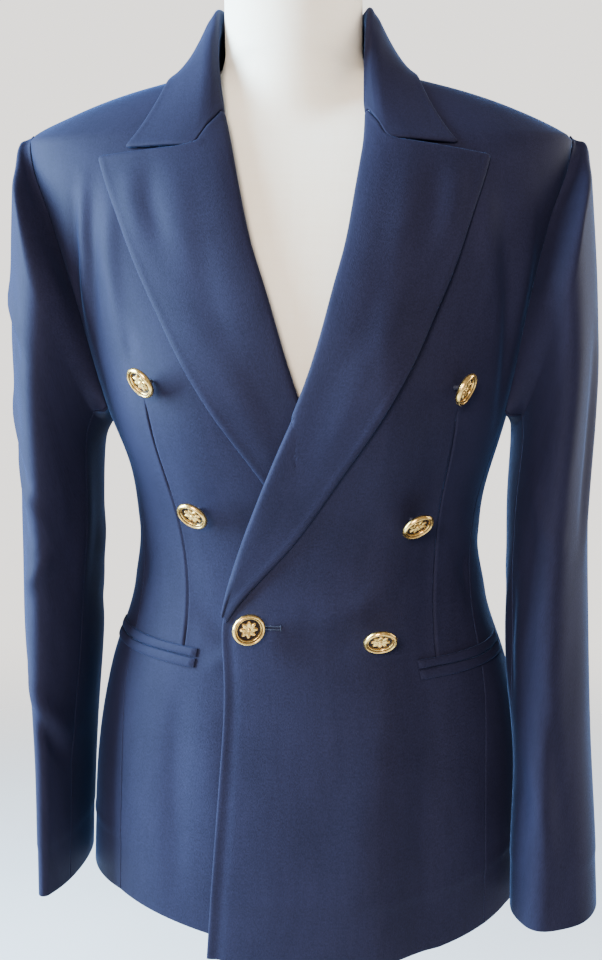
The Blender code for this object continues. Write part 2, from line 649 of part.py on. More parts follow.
def button(name, foot, cloth_faces):
    """A button about its own Z: a rosette of petals inside a rim, and a shank that leans to its foot."""
    shape = turned(BUTTON_PROFILE, BUTTON_STEPS)
    for vert in shape.verts:
        if vert.co.z > 0.002 and PETALS_REACH[0] < vert.co.xy.length < PETALS_REACH[1]:
            vert.co.z += PETAL_HEIGHT * math.cos(PETALS * math.atan2(vert.co.y, vert.co.x))
        elif vert.co.z < -0.001:
            tilt = (vert.co.x * cloth_faces.x + vert.co.y * cloth_faces.y) / cloth_faces.z
            vert.co = foot + Vector((vert.co.x, vert.co.y, -tilt))
    return keep(name, shape, GOLD)


def buttons():
    """Each tips forward on its shank, which stands straight out of the cloth."""
    for name, side, across, level, off, facing in BUTTONS:
        level = np.asarray(level)
        on_top = over_lift(side * across, level) if side > 0 or name == "low_right" else 0.0
        angle = angle_of(across, level)
        place = coat(angle, level, float(on_top) + CLOTH + off)
        cloth_faces = normal(angle, level)
        if side < 0:
            place[0] = 2 * lean_at(level) - place[0]
            cloth_faces = cloth_faces * np.array([-1, 1, 1])
        up, cloth_faces = Vector(facing).normalized(), Vector(cloth_faces)
        right = Vector((0, 0, 1)).cross(up).normalized()
        turn = Matrix((right, up.cross(right), up)).transposed()
        foot = cloth_faces * (THREAD_GAP - off)
        made = button(f"button_{name}", turn.inverted() @ foot, turn.inverted() @ cloth_faces)
        made.location = place
        made.rotation_euler = turn.to_euler()


# ---- dress form and stand ----

FORM_ROUND = 30
FORM_LEVELS = (
    0.830, 0.840, 0.880, 0.930, 0.970, 1.000, 1.030, 1.065, 1.100, 1.145, 1.180, 1.220, 1.265,
    1.310, 1.345, 1.370, 1.382, 1.392, 1.402, 1.412, 1.420, 1.430, 1.442, 1.456, 1.480, 1.505,
)
FORM_SHRINK = 0.0075      # how far the form lies inside the coat
FORM_ROUNDED = 0.012      # how much further in its lowest edge is
NECK_STARTS = 1.34        # height where the shoulders begin to join the neck
NECK_ROUND = 1.445        # height from which the neck is a plain cylinder
NECK_BLEND = 0.0120       # width of the soft join between them


def form_ring(level):
    """The form's outline at a height: the coat's section, shrunk, then joined softly to a round neck."""
    turns = np.linspace(0, 2 * np.pi, FORM_ROUND, endpoint=False)
    z = min(level, NECK_HIGH)
    n = float(square_at(z))
    front, back, middle = depth_at(z)
    shrink = FORM_SHRINK + (FORM_ROUNDED if level == FORM_LEVELS[0] else 0.0)
    wide = float(half_width(z)) - shrink
    deep = np.where(np.cos(turns) > 0, front, back) - shrink
    polar = np.arctan2(wide * np.sin(turns), deep * np.cos(turns))
    reach = ((np.abs(np.sin(polar)) / wide)**n + (np.abs(np.cos(polar)) / deep)**n)**(-1 / n)
    if level > NECK_STARTS:
        neck = NECK_RADIUS * (0.75 + 0.25 * float(smooth(1.33, 1.42, level)))
        fade = float(smooth(1.428, 1.450, level))
        reach = np.where(fade > 0, np.minimum(reach * (1 - fade) + neck * fade, neck + 0.004), reach)
        near = np.maximum(NECK_BLEND - np.abs(reach - neck), 0)
        reach = np.maximum(reach, neck) + near**2 / (4 * NECK_BLEND)
    if level > NECK_ROUND:
        reach, polar = NECK_RADIUS, turns
    x, y = reach * np.sin(polar), middle - reach * np.cos(polar)
    if level <= 1.30:
        y = y - bust(x, level) * np.clip(2 * np.cos(turns), 0, 1)
    return np.stack([x + lean_at(level), y, np.full(FORM_ROUND, level)], -1)


def dress_form():
    tube("form_body", np.array([form_ring(level) for level in FORM_LEVELS]), LINEN)


# rows of (radius, height) above each piece's own underside
CAP_PROFILE = (
    (0.0, 0.0), (0.0560, 0.0), (0.0585, 0.0015), (0.0585, 0.0055), (0.0545, 0.0085), (0.0400, 0.0115),
    (0.0150, 0.0130), (0.0, 0.0132),
)
POLE_PROFILE = (
    (0.0, 0.0), (0.0125, 0.0), (0.0125, 0.7994), (0.0220, 0.7997), (0.0220, 0.8073), (0.0, 0.8073),
)
BASE_PROFILE = (
    (0.0, 0.0), (0.1560, 0.0), (0.1600, 0.0030), (0.1600, 0.0080), (0.1520, 0.0120), (0.0500, 0.0180),
    (0.0320, 0.0220), (0.0, 0.0220),
)


def stand():
    for name, profile, steps, place in (
        ("neck_cap", CAP_PROFILE, 24, (float(lean_at(1.51)), 0.012, 1.5053)),
        ("pole", POLE_PROFILE, 20, (0.0, 0.0, 0.0223)),
        ("base", BASE_PROFILE, 36, (0.0, 0.0, 0.0)),
    ):
        made = keep(name, turned(profile, steps), STAND)
        made.location = place


build_body()
lapel("lapel_left", 1, over_lift)
lapel("lapel_right", -1, no_lift)
collar()
sleeve("left", 1, SLEEVE_LEFT)
sleeve("right", -1, SLEEVE_RIGHT)
welts("left", 1, POCKET_LEFT)
welts("right", -1, POCKET_RIGHT)
buttons()
dress_form()
stand()
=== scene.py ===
# %% [markdown]
# # A double breasted blazer on a dress form
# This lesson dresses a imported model: the solids of a blazer on a limbless dress form. The frame
# gives their sizes and places, and every piece made here stays where its solid is. The cloth is
# rebuilt finely, with its rounded edges, darts, welts and soft folds, and each finish is made of
# nodes alone.

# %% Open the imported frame
import json
import math

import bmesh
import bpy
import numpy as np
from mathutils import Matrix, Vector

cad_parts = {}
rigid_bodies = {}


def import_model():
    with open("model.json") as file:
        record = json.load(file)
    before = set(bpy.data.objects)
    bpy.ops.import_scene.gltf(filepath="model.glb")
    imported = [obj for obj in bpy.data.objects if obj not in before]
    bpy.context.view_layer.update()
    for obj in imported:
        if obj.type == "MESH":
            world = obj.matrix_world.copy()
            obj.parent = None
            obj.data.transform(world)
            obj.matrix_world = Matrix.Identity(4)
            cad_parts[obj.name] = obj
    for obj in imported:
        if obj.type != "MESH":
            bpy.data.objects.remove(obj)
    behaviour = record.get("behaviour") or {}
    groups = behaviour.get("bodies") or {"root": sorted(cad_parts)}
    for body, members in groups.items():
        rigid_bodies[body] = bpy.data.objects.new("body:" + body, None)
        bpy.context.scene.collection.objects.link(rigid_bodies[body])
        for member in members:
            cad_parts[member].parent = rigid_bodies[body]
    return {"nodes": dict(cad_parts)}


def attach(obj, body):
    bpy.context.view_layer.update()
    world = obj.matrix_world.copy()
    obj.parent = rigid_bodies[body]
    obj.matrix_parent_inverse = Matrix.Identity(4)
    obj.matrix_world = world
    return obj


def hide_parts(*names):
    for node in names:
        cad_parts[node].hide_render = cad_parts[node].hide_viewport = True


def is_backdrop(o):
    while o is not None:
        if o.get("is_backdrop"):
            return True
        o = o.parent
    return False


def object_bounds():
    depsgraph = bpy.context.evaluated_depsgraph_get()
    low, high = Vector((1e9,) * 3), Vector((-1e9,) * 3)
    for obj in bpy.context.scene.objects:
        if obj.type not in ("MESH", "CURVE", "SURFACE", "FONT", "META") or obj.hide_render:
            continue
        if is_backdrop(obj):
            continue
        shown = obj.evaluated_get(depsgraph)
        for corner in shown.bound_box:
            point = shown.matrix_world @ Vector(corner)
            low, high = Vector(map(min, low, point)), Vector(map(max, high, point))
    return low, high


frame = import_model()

cad_box = [list(corner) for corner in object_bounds()]
print("nodes:", len(frame["nodes"]), "box:", cad_box)

# %% [markdown]
# ## The camera
# The blazer is looked at from chest height, a little to one side and a little downward, as one
# stands before a shop's dress form. A camera's matrix holds its own right, up and backward
# directions, so those three vectors are worked out and put side by side.

# %% Camera
PICTURE_HEIGHT, FOCAL_PIXELS, SENSOR = 960, 1100, 36      # pixels, pixels, millimetres
STANCE = {"distance": 0.90, "yaw": 4.0, "pitch": 8.0, "roll": 0.3, "height": 1.235}


def look_from(distance, yaw, pitch, roll, height):
    """A camera turned about Z, tipped down and rolled, at a distance from the middle."""
    yaw, pitch, roll = map(math.radians, (yaw, pitch, roll))
    ahead = Vector((-math.sin(yaw) * math.cos(pitch), math.cos(yaw) * math.cos(pitch), -math.sin(pitch)))
    right = Vector((math.cos(yaw), math.sin(yaw), 0.0))
    up = right.cross(ahead)
    right, up = right * math.cos(roll) + up * math.sin(roll), up * math.cos(roll) - right * math.sin(roll)
    matrix = Matrix((right, up, -ahead)).transposed().to_4x4()
    matrix.translation = distance * math.sin(yaw), -distance * math.cos(yaw), height
    return matrix


lens = bpy.data.cameras.new("camera")
lens.sensor_width, lens.lens = SENSOR, FOCAL_PIXELS / PICTURE_HEIGHT * SENSOR
lens.shift_x = -1 / PICTURE_HEIGHT      # one pixel
camera = bpy.data.objects.new("camera", lens)
bpy.context.scene.collection.objects.link(camera)
camera.matrix_world = look_from(**STANCE)
bpy.context.scene.camera = camera
print("camera at", [round(x, 3) for x in camera.location])

# %% [markdown]
# ## The coat as one curved surface
# A tailor's pattern is flat, but a made coat is one rounded surface that follows the body. Here it
# is given by short tables: how wide, how deep and how square it is at each height. A smooth curve
# through each table's rows turns them into a surface that can be read at any angle and height.

# %% Tables of the coat's surface
CLOTH = 0.0018            # wall of the cloth
SEAM = 0.00008            # space between two pieces at a seam of the body
ARMHOLE_LOW = 1.172       # lowest height of the armhole
SHOULDER_TIP = 1.378      # height of the shoulder's outer end
NECK_HIGH = 1.4345        # height of the neck seam at the shoulder
# the fuller chest as two bells, across and up: middle, width, and how much fuller it is
BUST_ACROSS, BUST_UP = (0.078, 0.052), (1.178, 0.055, 0.009)

# height, half width
SIDE = (
    (0.740, 0.1822), (0.770, 0.1815), (0.830, 0.1795), (0.880, 0.1768), (0.930, 0.1700),
    (0.970, 0.1600), (1.000, 0.1492), (1.030, 0.1412), (1.065, 0.1378), (1.100, 0.1402),
    (1.145, 0.1526), (1.190, 0.1660), (1.235, 0.1800), (1.280, 0.1935), (1.325, 0.2060),
    (1.360, 0.2145), (1.378, 0.2165),
)
# line of the shoulder seam: distance from the centre, height
SHOULDER = (
    (0.0645, 1.4345), (0.0820, 1.4290), (0.1000, 1.4240), (0.1314, 1.4160), (0.1620, 1.4060),
    (0.1864, 1.3955), (0.2060, 1.3845), (0.2165, 1.3780),
)
# height, depth in front of the middle, depth behind it, place of the middle
DEPTH = (
    (0.740, 0.131, 0.125, 0.002), (0.850, 0.126, 0.126, 0.002), (0.930, 0.119, 0.119, 0.002),
    (1.000, 0.110, 0.103, 0.001), (1.065, 0.104, 0.092, 0.000), (1.120, 0.114, 0.095, 0.000),
    (1.175, 0.125, 0.104, 0.002), (1.220, 0.122, 0.109, 0.004), (1.280, 0.110, 0.110, 0.008),
    (1.330, 0.093, 0.104, 0.011), (1.380, 0.066, 0.089, 0.013), (1.410, 0.047, 0.074, 0.013),
    (1.4345, 0.034, 0.063, 0.012),
)
# height, how far the middle stands to the wearer's left
LEAN = (
    (0.740, 0.0065), (0.900, 0.0065), (1.065, 0.0060), (1.200, 0.0030), (1.300, -0.0020),
    (1.380, -0.0060), (1.440, -0.0085), (1.550, -0.0100),
)
# height, squareness of the section
SQUARE = ((0.740, 2.25), (1.000, 2.20), (1.180, 2.25), (1.300, 2.35), (1.4345, 2.20))
print("tables of", len(SIDE) + len(SHOULDER), "outline rows and", len(DEPTH), "depth rows")


# %% Curves through the tables
def spline(table):
    """A natural cubic through a table's rows: the first column is the place, the rest are values."""
    table = np.array(sorted(map(tuple, table)), float)
    place, values = table[:, 0], table[:, 1:]
    step = np.diff(place)[:, None]
    slope = np.diff(values, axis=0) / step
    system, right = np.eye(len(place)), np.zeros_like(values)
    for i in range(1, len(place) - 1):
        before, after = step[i - 1, 0], step[i, 0]
        system[i, i - 1:i + 2] = before, 2 * (before + after), after
        right[i] = 6 * (slope[i] - slope[i - 1])
    bend = np.linalg.solve(system, right)

    def value(x):
        x = np.clip(np.asarray(x, float), place[0], place[-1])
        i = np.clip(np.searchsorted(place, x) - 1, 0, len(place) - 2)
        b = ((x - place[i]) / step[i, 0])[..., None]
        a = 1 - b
        curve = ((a**3 - a) * bend[i] + (b**3 - b) * bend[i + 1]) * step[i]**2 / 6
        found = a * values[i] + b * values[i + 1] + curve
        return found[..., 0] if values.shape[1] == 1 else found

    return value


def line(table):
    """Straight lines through the rows of a table."""
    table = np.array(sorted(table), float)
    return lambda x: np.interp(x, table[:, 0], table[:, 1])


def smooth(low, high, x):
    """0 below low, 1 above high, and an even slope between."""
    x = np.clip((np.asarray(x, float) - low) / (high - low), 0, 1)
    return x * x * (3 - 2 * x)


def plateau(x, start, full, fade, end):
    """1 from full to fade, and 0 outside start and end."""
    return smooth(start, full, x) * (1 - smooth(fade, end, x))


def bell(x, middle, width, height=1.0):
    """The height at the middle, falling away smoothly on both sides."""
    return height * np.exp(-((x - middle) / width)**2)


def unit(way):
    return way / np.linalg.norm(way, axis=-1, keepdims=True)


def travelled(points, axis=0):
    """The length along rows or columns of points, from the first one."""
    steps = np.linalg.norm(np.diff(points, axis=axis), axis=-1)
    return np.insert(np.cumsum(steps, axis=axis), 0, 0.0, axis=axis)


side_at, depth_at, lean_at, square_at = spline(SIDE), spline(DEPTH), spline(LEAN), line(SQUARE)
ridge_x = np.linspace(SHOULDER[0][0], SHOULDER[-1][0], 300)
ridge_z = spline(SHOULDER)(ridge_x)
print("the waist is", round(float(side_at(1.065)) * 2000), "mm wide")


# %% A place on the coat
def half_width(z):
    return np.where(z < SHOULDER_TIP, side_at(z), np.interp(-np.asarray(z, float), -ridge_z, ridge_x))


def bust(across, z):
    """How far the front is fuller on each side of the chest."""
    return bell(np.abs(across), *BUST_ACROSS) * bell(z, *BUST_UP)


def base(angle, z):
    """The coat's inner surface at an angle in degrees, 0 at the centre front, and a height."""
    angle, z = np.broadcast_arrays(np.radians(angle), np.asarray(z, float))
    s, c = np.sin(angle), np.cos(angle)
    n = square_at(z)
    reach = (np.abs(s)**n + np.abs(c)**n)**(-1 / n)
    front, back, middle = np.moveaxis(depth_at(z), -1, 0)
    across = half_width(z) * reach * s
    y = middle - np.where(c > 0, front, back) * reach * c - bust(across, z) * np.clip(2 * c, 0, 1)
    return np.stack([lean_at(z) + across, y, z], -1)


def normal(angle, z):
    """The way out of the coat's surface."""
    along = base(angle + 0.02, z) - base(angle - 0.02, z)
    z = np.minimum(z, NECK_HIGH - 0.0003)
    return unit(np.cross(along, base(angle, z + 0.0002) - base(angle, z - 0.0002)))


def coat(angle, z, out):
    """A place on the coat, moved out from its inner surface."""
    angle, z, out = np.broadcast_arrays(*(np.asarray(value, float) for value in (angle, z, out)))
    return base(angle, z) + normal(angle, z) * out[..., None]


def angle_of(across, z):
    """The angle of the front's place at a distance from the centre and a height."""
    n = square_at(z)
    q = np.clip(np.abs(across) / half_width(z), 0, 0.99999)
    return np.degrees(np.sign(across) * np.arctan2(q, (1 - q**n)**(1 / n)))


def to_side(place, side):
    """The same place on the wearer's right, where side is -1."""
    place = np.array(place)
    if side < 0:
        place[..., 0] = 2 * lean_at(place[..., 2]) - place[..., 0]
    return place


print("the centre front at the waist is at", np.round(base(0.0, 1.065), 4))

# %% [markdown]
# ## The overlap
# A double breasted coat has one front lying wide over the other. The wearer's left front is on
# top, so it stands out by the thickness of what is under it, and the step fades out towards the
# side.


# %% The overlap's lift
LIFT_HEM, LIFT_LOW, LIFT_HIGH = 0.0099, 0.0054, 0.0092      # at the hem, above it, and at the chest


def over_lift(across, z):
    """How far the wearer's left front stands out, so that it passes over the right front."""
    inner = 1 - smooth(0.058, 0.100, across)
    low = LIFT_HEM + (LIFT_LOW - LIFT_HEM) * smooth(0.80, 0.97, z)
    high = LIFT_HIGH * (1 - smooth(1.21, 1.31, z))
    return inner * (low + (high - low) * smooth(0.985, 1.035, z))


def no_lift(across, z):
    return np.zeros(np.broadcast(across, z).shape)


SIDES = (("left", 1), ("right", -1))        # the wearer's sides
LIFT = {1: over_lift, -1: no_lift}
print("the overlap stands out", round(float(over_lift(0.0, 1.1)) * 1000, 1), "mm at the chest")

# %% [markdown]
# ## Colours and patterns by arithmetic
# A finish is a small graph of nodes. Written as a graph it is hard to read, so one class wraps a
# socket and lets it be added, multiplied and subtracted like a number; each sign adds its own
# Math node. Another class holds the finish, adds any other node, and sets the surface.


# %% A socket that works like a number
class Wire:
    """A socket of a finish; arithmetic on it adds Math nodes."""

    def __init__(self, finish, socket):
        self.finish, self.socket = finish, socket

    def maths(self, operation, *values):
        return self.finish.node("ShaderNodeMath", dict(enumerate(values)), operation=operation)

    def __add__(self, other):
        return self.maths("ADD", self, other)

    def __rsub__(self, other):
        return self.maths("SUBTRACT", other, self)

    def __mul__(self, other):
        return self.maths("MULTIPLY", self, other)

    def wave(self):
        return self.maths("SINE", self)


print("a socket can be added, multiplied and taken from a number")


# %% A finish
class Finish:
    """A material with one Principled surface."""

    def __init__(self, name, **constants):
        self.material = bpy.data.materials.new(name)
        self.material.use_nodes = True
        self.tree = self.material.node_tree
        self.shader = self.tree.nodes["Principled BSDF"]
        for socket, value in constants.items():
            self.shader.inputs[socket.replace("_", " ")].default_value = value

    def put(self, socket, value):
        """Link a wire to a socket, or set the socket."""
        if isinstance(value, Wire):
            self.tree.links.new(value.socket, socket)
        else:
            socket.default_value = value

    def node(self, kind, sockets=(), out=0, **settings):
        made = self.tree.nodes.new(kind)
        for setting, value in settings.items():
            setattr(made, setting, value)
        for socket, value in dict(sockets).items():
            self.put(made.inputs[socket], value)
        return Wire(self, made.outputs[out])

    def place(self):
        """The place in the piece's own space."""
        return self.node("ShaderNodeTexCoord", out=3)

    def flat(self):
        """The place on the flat cloth."""
        return self.node("ShaderNodeUVMap", uv_map="cloth")

    def noise(self, place, scale, detail=2.0, roughness=0.5, stretch=(1.0, 1.0, 1.0)):
        """Smooth cloudy values from 0 to 1; scale is in features for each metre."""
        place = self.node("ShaderNodeVectorMath", {0: place, 1: stretch}, operation="MULTIPLY")
        return self.node("ShaderNodeTexNoise", {"Vector": place, "Scale": scale, "Detail": detail,
                                                "Roughness": roughness})

    def between(self, value, low, high, start=0.0, end=1.0):
        """The value's way from low to high, eased, as a number from start to end."""
        ways = {"Value": value, "From Min": low, "From Max": high, "To Min": start, "To Max": end}
        return self.node("ShaderNodeMapRange", ways, interpolation_type="SMOOTHSTEP")

    def mix(self, share, first, second):
        """A colour between two."""
        first, second = ((*c, 1.0) if isinstance(c, tuple) else c for c in (first, second))
        return self.node("ShaderNodeMix", {0: share, 6: first, 7: second}, out=2, data_type="RGBA")

    def surface(self, colour, roughness=None, metallic=None, height=None, depth=0.0):
        for socket, value in (("Base Color", colour), ("Roughness", roughness), ("Metallic", metallic)):
            if value is not None:
                self.put(self.shader.inputs[socket], value)
        if height is not None:
            bump = self.node("ShaderNodeBump", {"Strength": 1.0, "Distance": depth, "Height": height})
            self.put(self.shader.inputs["Normal"], bump)
        return self.material


print("a finish adds any node and sets its surface")

# %% [markdown]
# ## Navy cloth
# The blazer is cut from a fine crepe: closely woven, a little grainy, matt in the middle and
# brighter and bluer where it turns away, because of the fine hairs on its threads. The hairs are
# the shader's sheen. The weave is raised from the cloth's own flat places, which each piece
# carries as a UV map in metres, so that its grain runs along the piece as it does on the bolt.


# %% Navy cloth
def cloth_finish():
    made = Finish("navy_cloth", IOR=1.45, Sheen_Weight=0.28, Sheen_Roughness=0.24,
                  Sheen_Tint=(0.22, 0.44, 1.0, 1.0), Specular_IOR_Level=0.06)
    flat = made.flat()
    crepe = made.noise(flat, 1100.0, 3.0, 0.6, (1.0, 0.6, 1.0))
    pebble = made.noise(flat, 430.0, stretch=(1.0, 0.7, 1.0))
    slub = made.noise(flat, 130.0, stretch=(1.0, 0.2, 1.0))
    cloud = made.noise(flat, 14.0, 3.0)
    grain = crepe * 0.68 + pebble * 0.20 + slub * 0.12
    tone = made.between(grain, 0.32, 0.68) * 0.75 + made.between(cloud, 0.3, 0.7) * 0.25
    colour = made.mix(tone, (0.0080, 0.0080, 0.0178), (0.0172, 0.0170, 0.0374))
    return made.surface(colour, made.between(crepe, 0.2, 0.8, 0.60, 0.74), height=grain, depth=0.00024)


NAVY = cloth_finish()
print("made", NAVY.name, "of", len(NAVY.node_tree.nodes), "nodes")

# %% [markdown]
# ## Making a piece of cloth
# A piece of cloth has two faces and a rounded edge where it is turned in. Each face is a flat
# grid, moved onto the piece's middle surface and out from it by half the wall: the first is one
# bmesh operator, and an extrusion of it gives the second and the narrow rim between them. Near
# the edge the half wall follows a quarter circle down to almost nothing, which gives a soft edge
# that catches the light. Each vertex keeps its number in the grid, so both faces know their
# place on the flat cloth.


# %% Objects and grids
pieces = {}


def keep(shape, name, finish, recalculate=True):
    """A smooth object at the origin from a finished bmesh; recalculate turns its faces outwards."""
    if recalculate:
        bmesh.ops.recalc_face_normals(shape, faces=shape.faces)
    mesh = bpy.data.meshes.new(name)
    shape.to_mesh(mesh)
    shape.free()
    mesh.materials.append(finish)
    mesh.shade_smooth()
    made = bpy.data.objects.new(name, mesh)
    bpy.context.scene.collection.objects.link(made)
    return made


def take_place(node, made):
    """Note a piece as the one for a node, and say what it measures."""
    pieces[node] = made
    low, high = (np.array([end(v.co[i] for v in made.data.vertices) for i in range(3)]) for end in (min, max))
    print(made.name, len(made.data.polygons), "faces", np.round((high - low) * 1000), "mm")


def grid(shape, points):
    """A grid laid through rows and columns of points."""
    rows, columns = points.shape[:2]
    made = bmesh.ops.create_grid(shape, x_segments=columns - 1, y_segments=rows - 1, size=1)
    for vert, point in zip(made["verts"], points.reshape(-1, 3)):
        vert.co = point


def seal(shape):
    """Join a grid's meeting sides and fill its open ends."""
    bmesh.ops.remove_doubles(shape, verts=shape.verts, dist=1e-6)
    bmesh.ops.holes_fill(shape, edges=[edge for edge in shape.edges if edge.is_boundary], sides=0)


print("a grid is laid through rows of points")


# %% From points to a closed piece of cloth
EDGE = (0.0, 0.00018, 0.00045, 0.00090, 0.0018, 0.0040)       # distances of the first grid lines from an edge
THINNEST = 0.12                                               # what is left of the wall at the very edge
RIDGE = (0.0036, 0.0024)                                      # place and width of the ridge inside an edge


def lay_flat(made, flat):
    """Give each corner its place on the flat cloth, in metres."""
    corner, spot = np.empty(len(made.data.loops), np.int32), np.empty(len(made.data.vertices), np.int32)
    made.data.loops.foreach_get("vertex_index", corner)
    made.data.attributes["spot"].data.foreach_get("value", spot)
    made.data.uv_layers.new(name="cloth").data.foreach_set("uv", flat[spot[corner]].ravel())


def cloth(node, middle, out, wall=CLOTH, edge=CLOTH / 2, ridge=0.0):
    """Two grids round a middle surface, with a rounded edge."""
    along, down = travelled(middle, 1), travelled(middle)
    near = np.minimum(np.minimum(along, along[:, -1:] - along), np.minimum(down, down[-1:] - down))
    raised = bell(near, *RIDGE, ridge)      # over the cloth that is turned in
    near = np.clip(near / edge, 0, 1)
    half = (wall / 2 * (THINNEST + (1 - THINNEST) * np.sqrt(1 - (1 - near)**2)) + raised)[..., None]
    shape = bmesh.new()
    grid(shape, middle + out * half)
    spot = shape.verts.layers.int.new("spot")
    for number, vert in enumerate(shape.verts):
        vert[spot] = number
    inner = (middle - out * half).reshape(-1, 3)
    second = bmesh.ops.extrude_face_region(shape, geom=shape.faces[:], use_keep_orig=True)
    for vert in second["geom"]:
        if isinstance(vert, bmesh.types.BMVert):
            vert.co = inner[vert[spot]]
    made = keep(shape, "cloth_" + node, NAVY)
    lay_flat(made, np.stack([along - along[:, [along.shape[1] // 2]], down], -1).reshape(-1, 2))
    take_place(node, made)


def spaced(lengths, count):
    """Shares along each of some lengths: close near both ends, and even between."""
    near = np.minimum(np.array(EDGE) / np.atleast_1d(lengths)[:, None], 0.2)
    between = near[:, -1:] + (1 - 2 * near[:, -1:]) * np.linspace(0, 1, count + 2)[1:-1]
    return np.concatenate([near, between, 1 - near[:, ::-1]], axis=1)


print("a piece of cloth has", len(EDGE), "lines along each edge")

# %% [markdown]
# ## Folds
# Cloth on a form is never quite smooth. It stands in soft ridges and troughs that start at a
# seam, run along the pull of the cloth and fade away. Each one here is a short line of places
# with a width and a height, and its profile is a bell that fades at both ends. Simulating the
# whole coat would lose its tailored lines, so the folds are placed one by one.


# %% Folds along lines
DEGREE = 0.0026           # metres of cloth for each degree round the body


def folds(first, second, table, size=1.0):
    """The rise of soft folds at places (first, second); size is one unit of the first in metres."""
    first = first * size
    rise = np.zeros(np.broadcast(first, second).shape)
    for width, height, *points in table:
        points = np.array(points) * (size, 1.0)
        gone = travelled(points)
        share, best = np.zeros_like(rise), np.full_like(rise, 9.0)
        for (x, y), (dx, dy), before, after in zip(points, np.diff(points, axis=0), gone, gone[1:]):
            t = np.clip(((first - x) * dx + (second - y) * dy) / (after - before)**2, 0, 1)
            away = np.hypot(first - x - dx * t, second - y - dy * t)
            share = np.where(away < best, (before + t * (after - before)) / gone[-1], share)
            best = np.minimum(best, away)
        rise += height * np.sin(np.pi * np.clip(share, 0.03, 0.97))**0.7 * bell(best, 0, width)
    return rise


print("a fold is a width, a height and a line of places")

# %% [markdown]
# ## The body of the coat
# Six panels make the body: a front, a side and a back on each side of the wearer. Each front has
# a dart, a seam that takes cloth in at the waist so that the front follows the chest. The grid of
# a front has a line of points along its dart, and close lines beside it, so that the seam can be
# a narrow groove without a very fine grid everywhere.

# %% Lines of the panels
# the coat's front: height, distance from the centre of the folded edge, or of the cut edge below
ROLL = (
    (0.740, -0.0665), (0.770, -0.0648), (0.830, -0.0610), (0.903, -0.0568), (0.980, -0.0552),
    (1.014, -0.0552), (1.042, -0.0470), (1.070, -0.0386), (1.098, -0.0296), (1.127, -0.0202),
    (1.158, -0.0090), (1.183, 0.0012), (1.204, 0.0082), (1.230, 0.0152), (1.263, 0.0240),
    (1.290, 0.0318), (1.320, 0.0382), (1.350, 0.0440), (1.380, 0.0502), (1.400, 0.0552),
    (1.420, 0.0600), (1.4345, 0.0630),
)
# height, angle of the long seam before the side panel, then behind it
SIDE_SEAM = (
    (0.740, 49.0), (0.830, 50.0), (0.900, 51.5), (0.957, 56.0), (1.000, 60.0), (1.065, 65.0),
    (1.172, 71.0),
)
BACK_SEAM = ((0.740, 124.0), (0.900, 124.0), (1.065, 119.0), (1.172, 112.0))
# height, angle of the armhole in front, angle behind
ARMHOLE = (
    (1.172, 71.0, 112.0), (1.196, 69.5, 111.0), (1.220, 67.0, 110.5), (1.255, 65.0, 111.0),
    (1.281, 65.0, 112.5), (1.307, 66.0, 114.0), (1.330, 68.5, 112.0), (1.355, 74.0, 107.0),
    (1.370, 80.5, 100.0), (1.378, 89.0, 91.0),
)
# angle from the centre front, height of the hem
HEM = {1: line((
    (-25.0, 0.7610), (20.0, 0.7620), (35.0, 0.7650), (50.0, 0.7730), (60.0, 0.7790), (90.0, 0.7860),
    (180.0, 0.7860),
)), -1: line((
    (-25.0, 0.7700), (20.0, 0.7745), (38.0, 0.7830), (50.0, 0.7885), (60.0, 0.7880), (90.0, 0.7860),
    (180.0, 0.7860),
))}
# height, angle of each dart; it runs from below the chest to the pocket
DART = {1: spline((
    (0.7600, 39.0), (0.9887, 39.8), (1.0601, 44.0), (1.1200, 44.6), (1.1754, 42.9), (1.4345, 36.0),
)), -1: spline((
    (0.7600, 33.0), (0.9933, 34.5), (1.0583, 37.6), (1.1204, 41.2), (1.1827, 40.9), (1.4345, 36.0),
))}
DART_ENDS = {1: (1.178, 0.984), -1: (1.184, 0.990)}          # highest and lowest place of the groove
roll_at, side_seam, back_seam, armhole_at = map(spline, (ROLL, SIDE_SEAM, BACK_SEAM, ARMHOLE))
print("the darts are", round((DART_ENDS[1][0] - DART_ENDS[1][1]) * 1000), "mm long")


# %% Where each panel begins and ends
SPREAD, SPREAD_HEIGHTS = 0.0095, (1.08, 1.24, 1.36, 1.43)      # of the left front's fold at the chest


def fold_at(side, z):
    """Distance from the centre of a front's folded or cut edge; the left one lies further out."""
    return roll_at(z) + SPREAD * plateau(z, *SPREAD_HEIGHTS) * (side > 0)


def front_edge(side):
    return lambda z: angle_of(fold_at(side, z), z)


def armhole_side(column, seam):
    """The long seam up to the armhole, the armhole, then the shoulder."""
    def value(z):
        above = np.where(z < SHOULDER_TIP, armhole_at(z)[..., column], 90.0)
        return np.where(z < ARMHOLE_LOW, seam(z), above)
    return value


front_end, back_start = armhole_side(0, side_seam), armhole_side(1, back_seam)
print("the front meets the side at", float(side_seam(0.9)), "degrees")

# %% [markdown]
# ### Folds of the body
# On the right front the cloth hangs from the sleeve head in upright ripples. On the left one it
# is drawn flat over the chest and breaks along the armhole. The back has the same kind of folds,
# from the armholes down, and both fronts pull a little towards the buttons that close them.

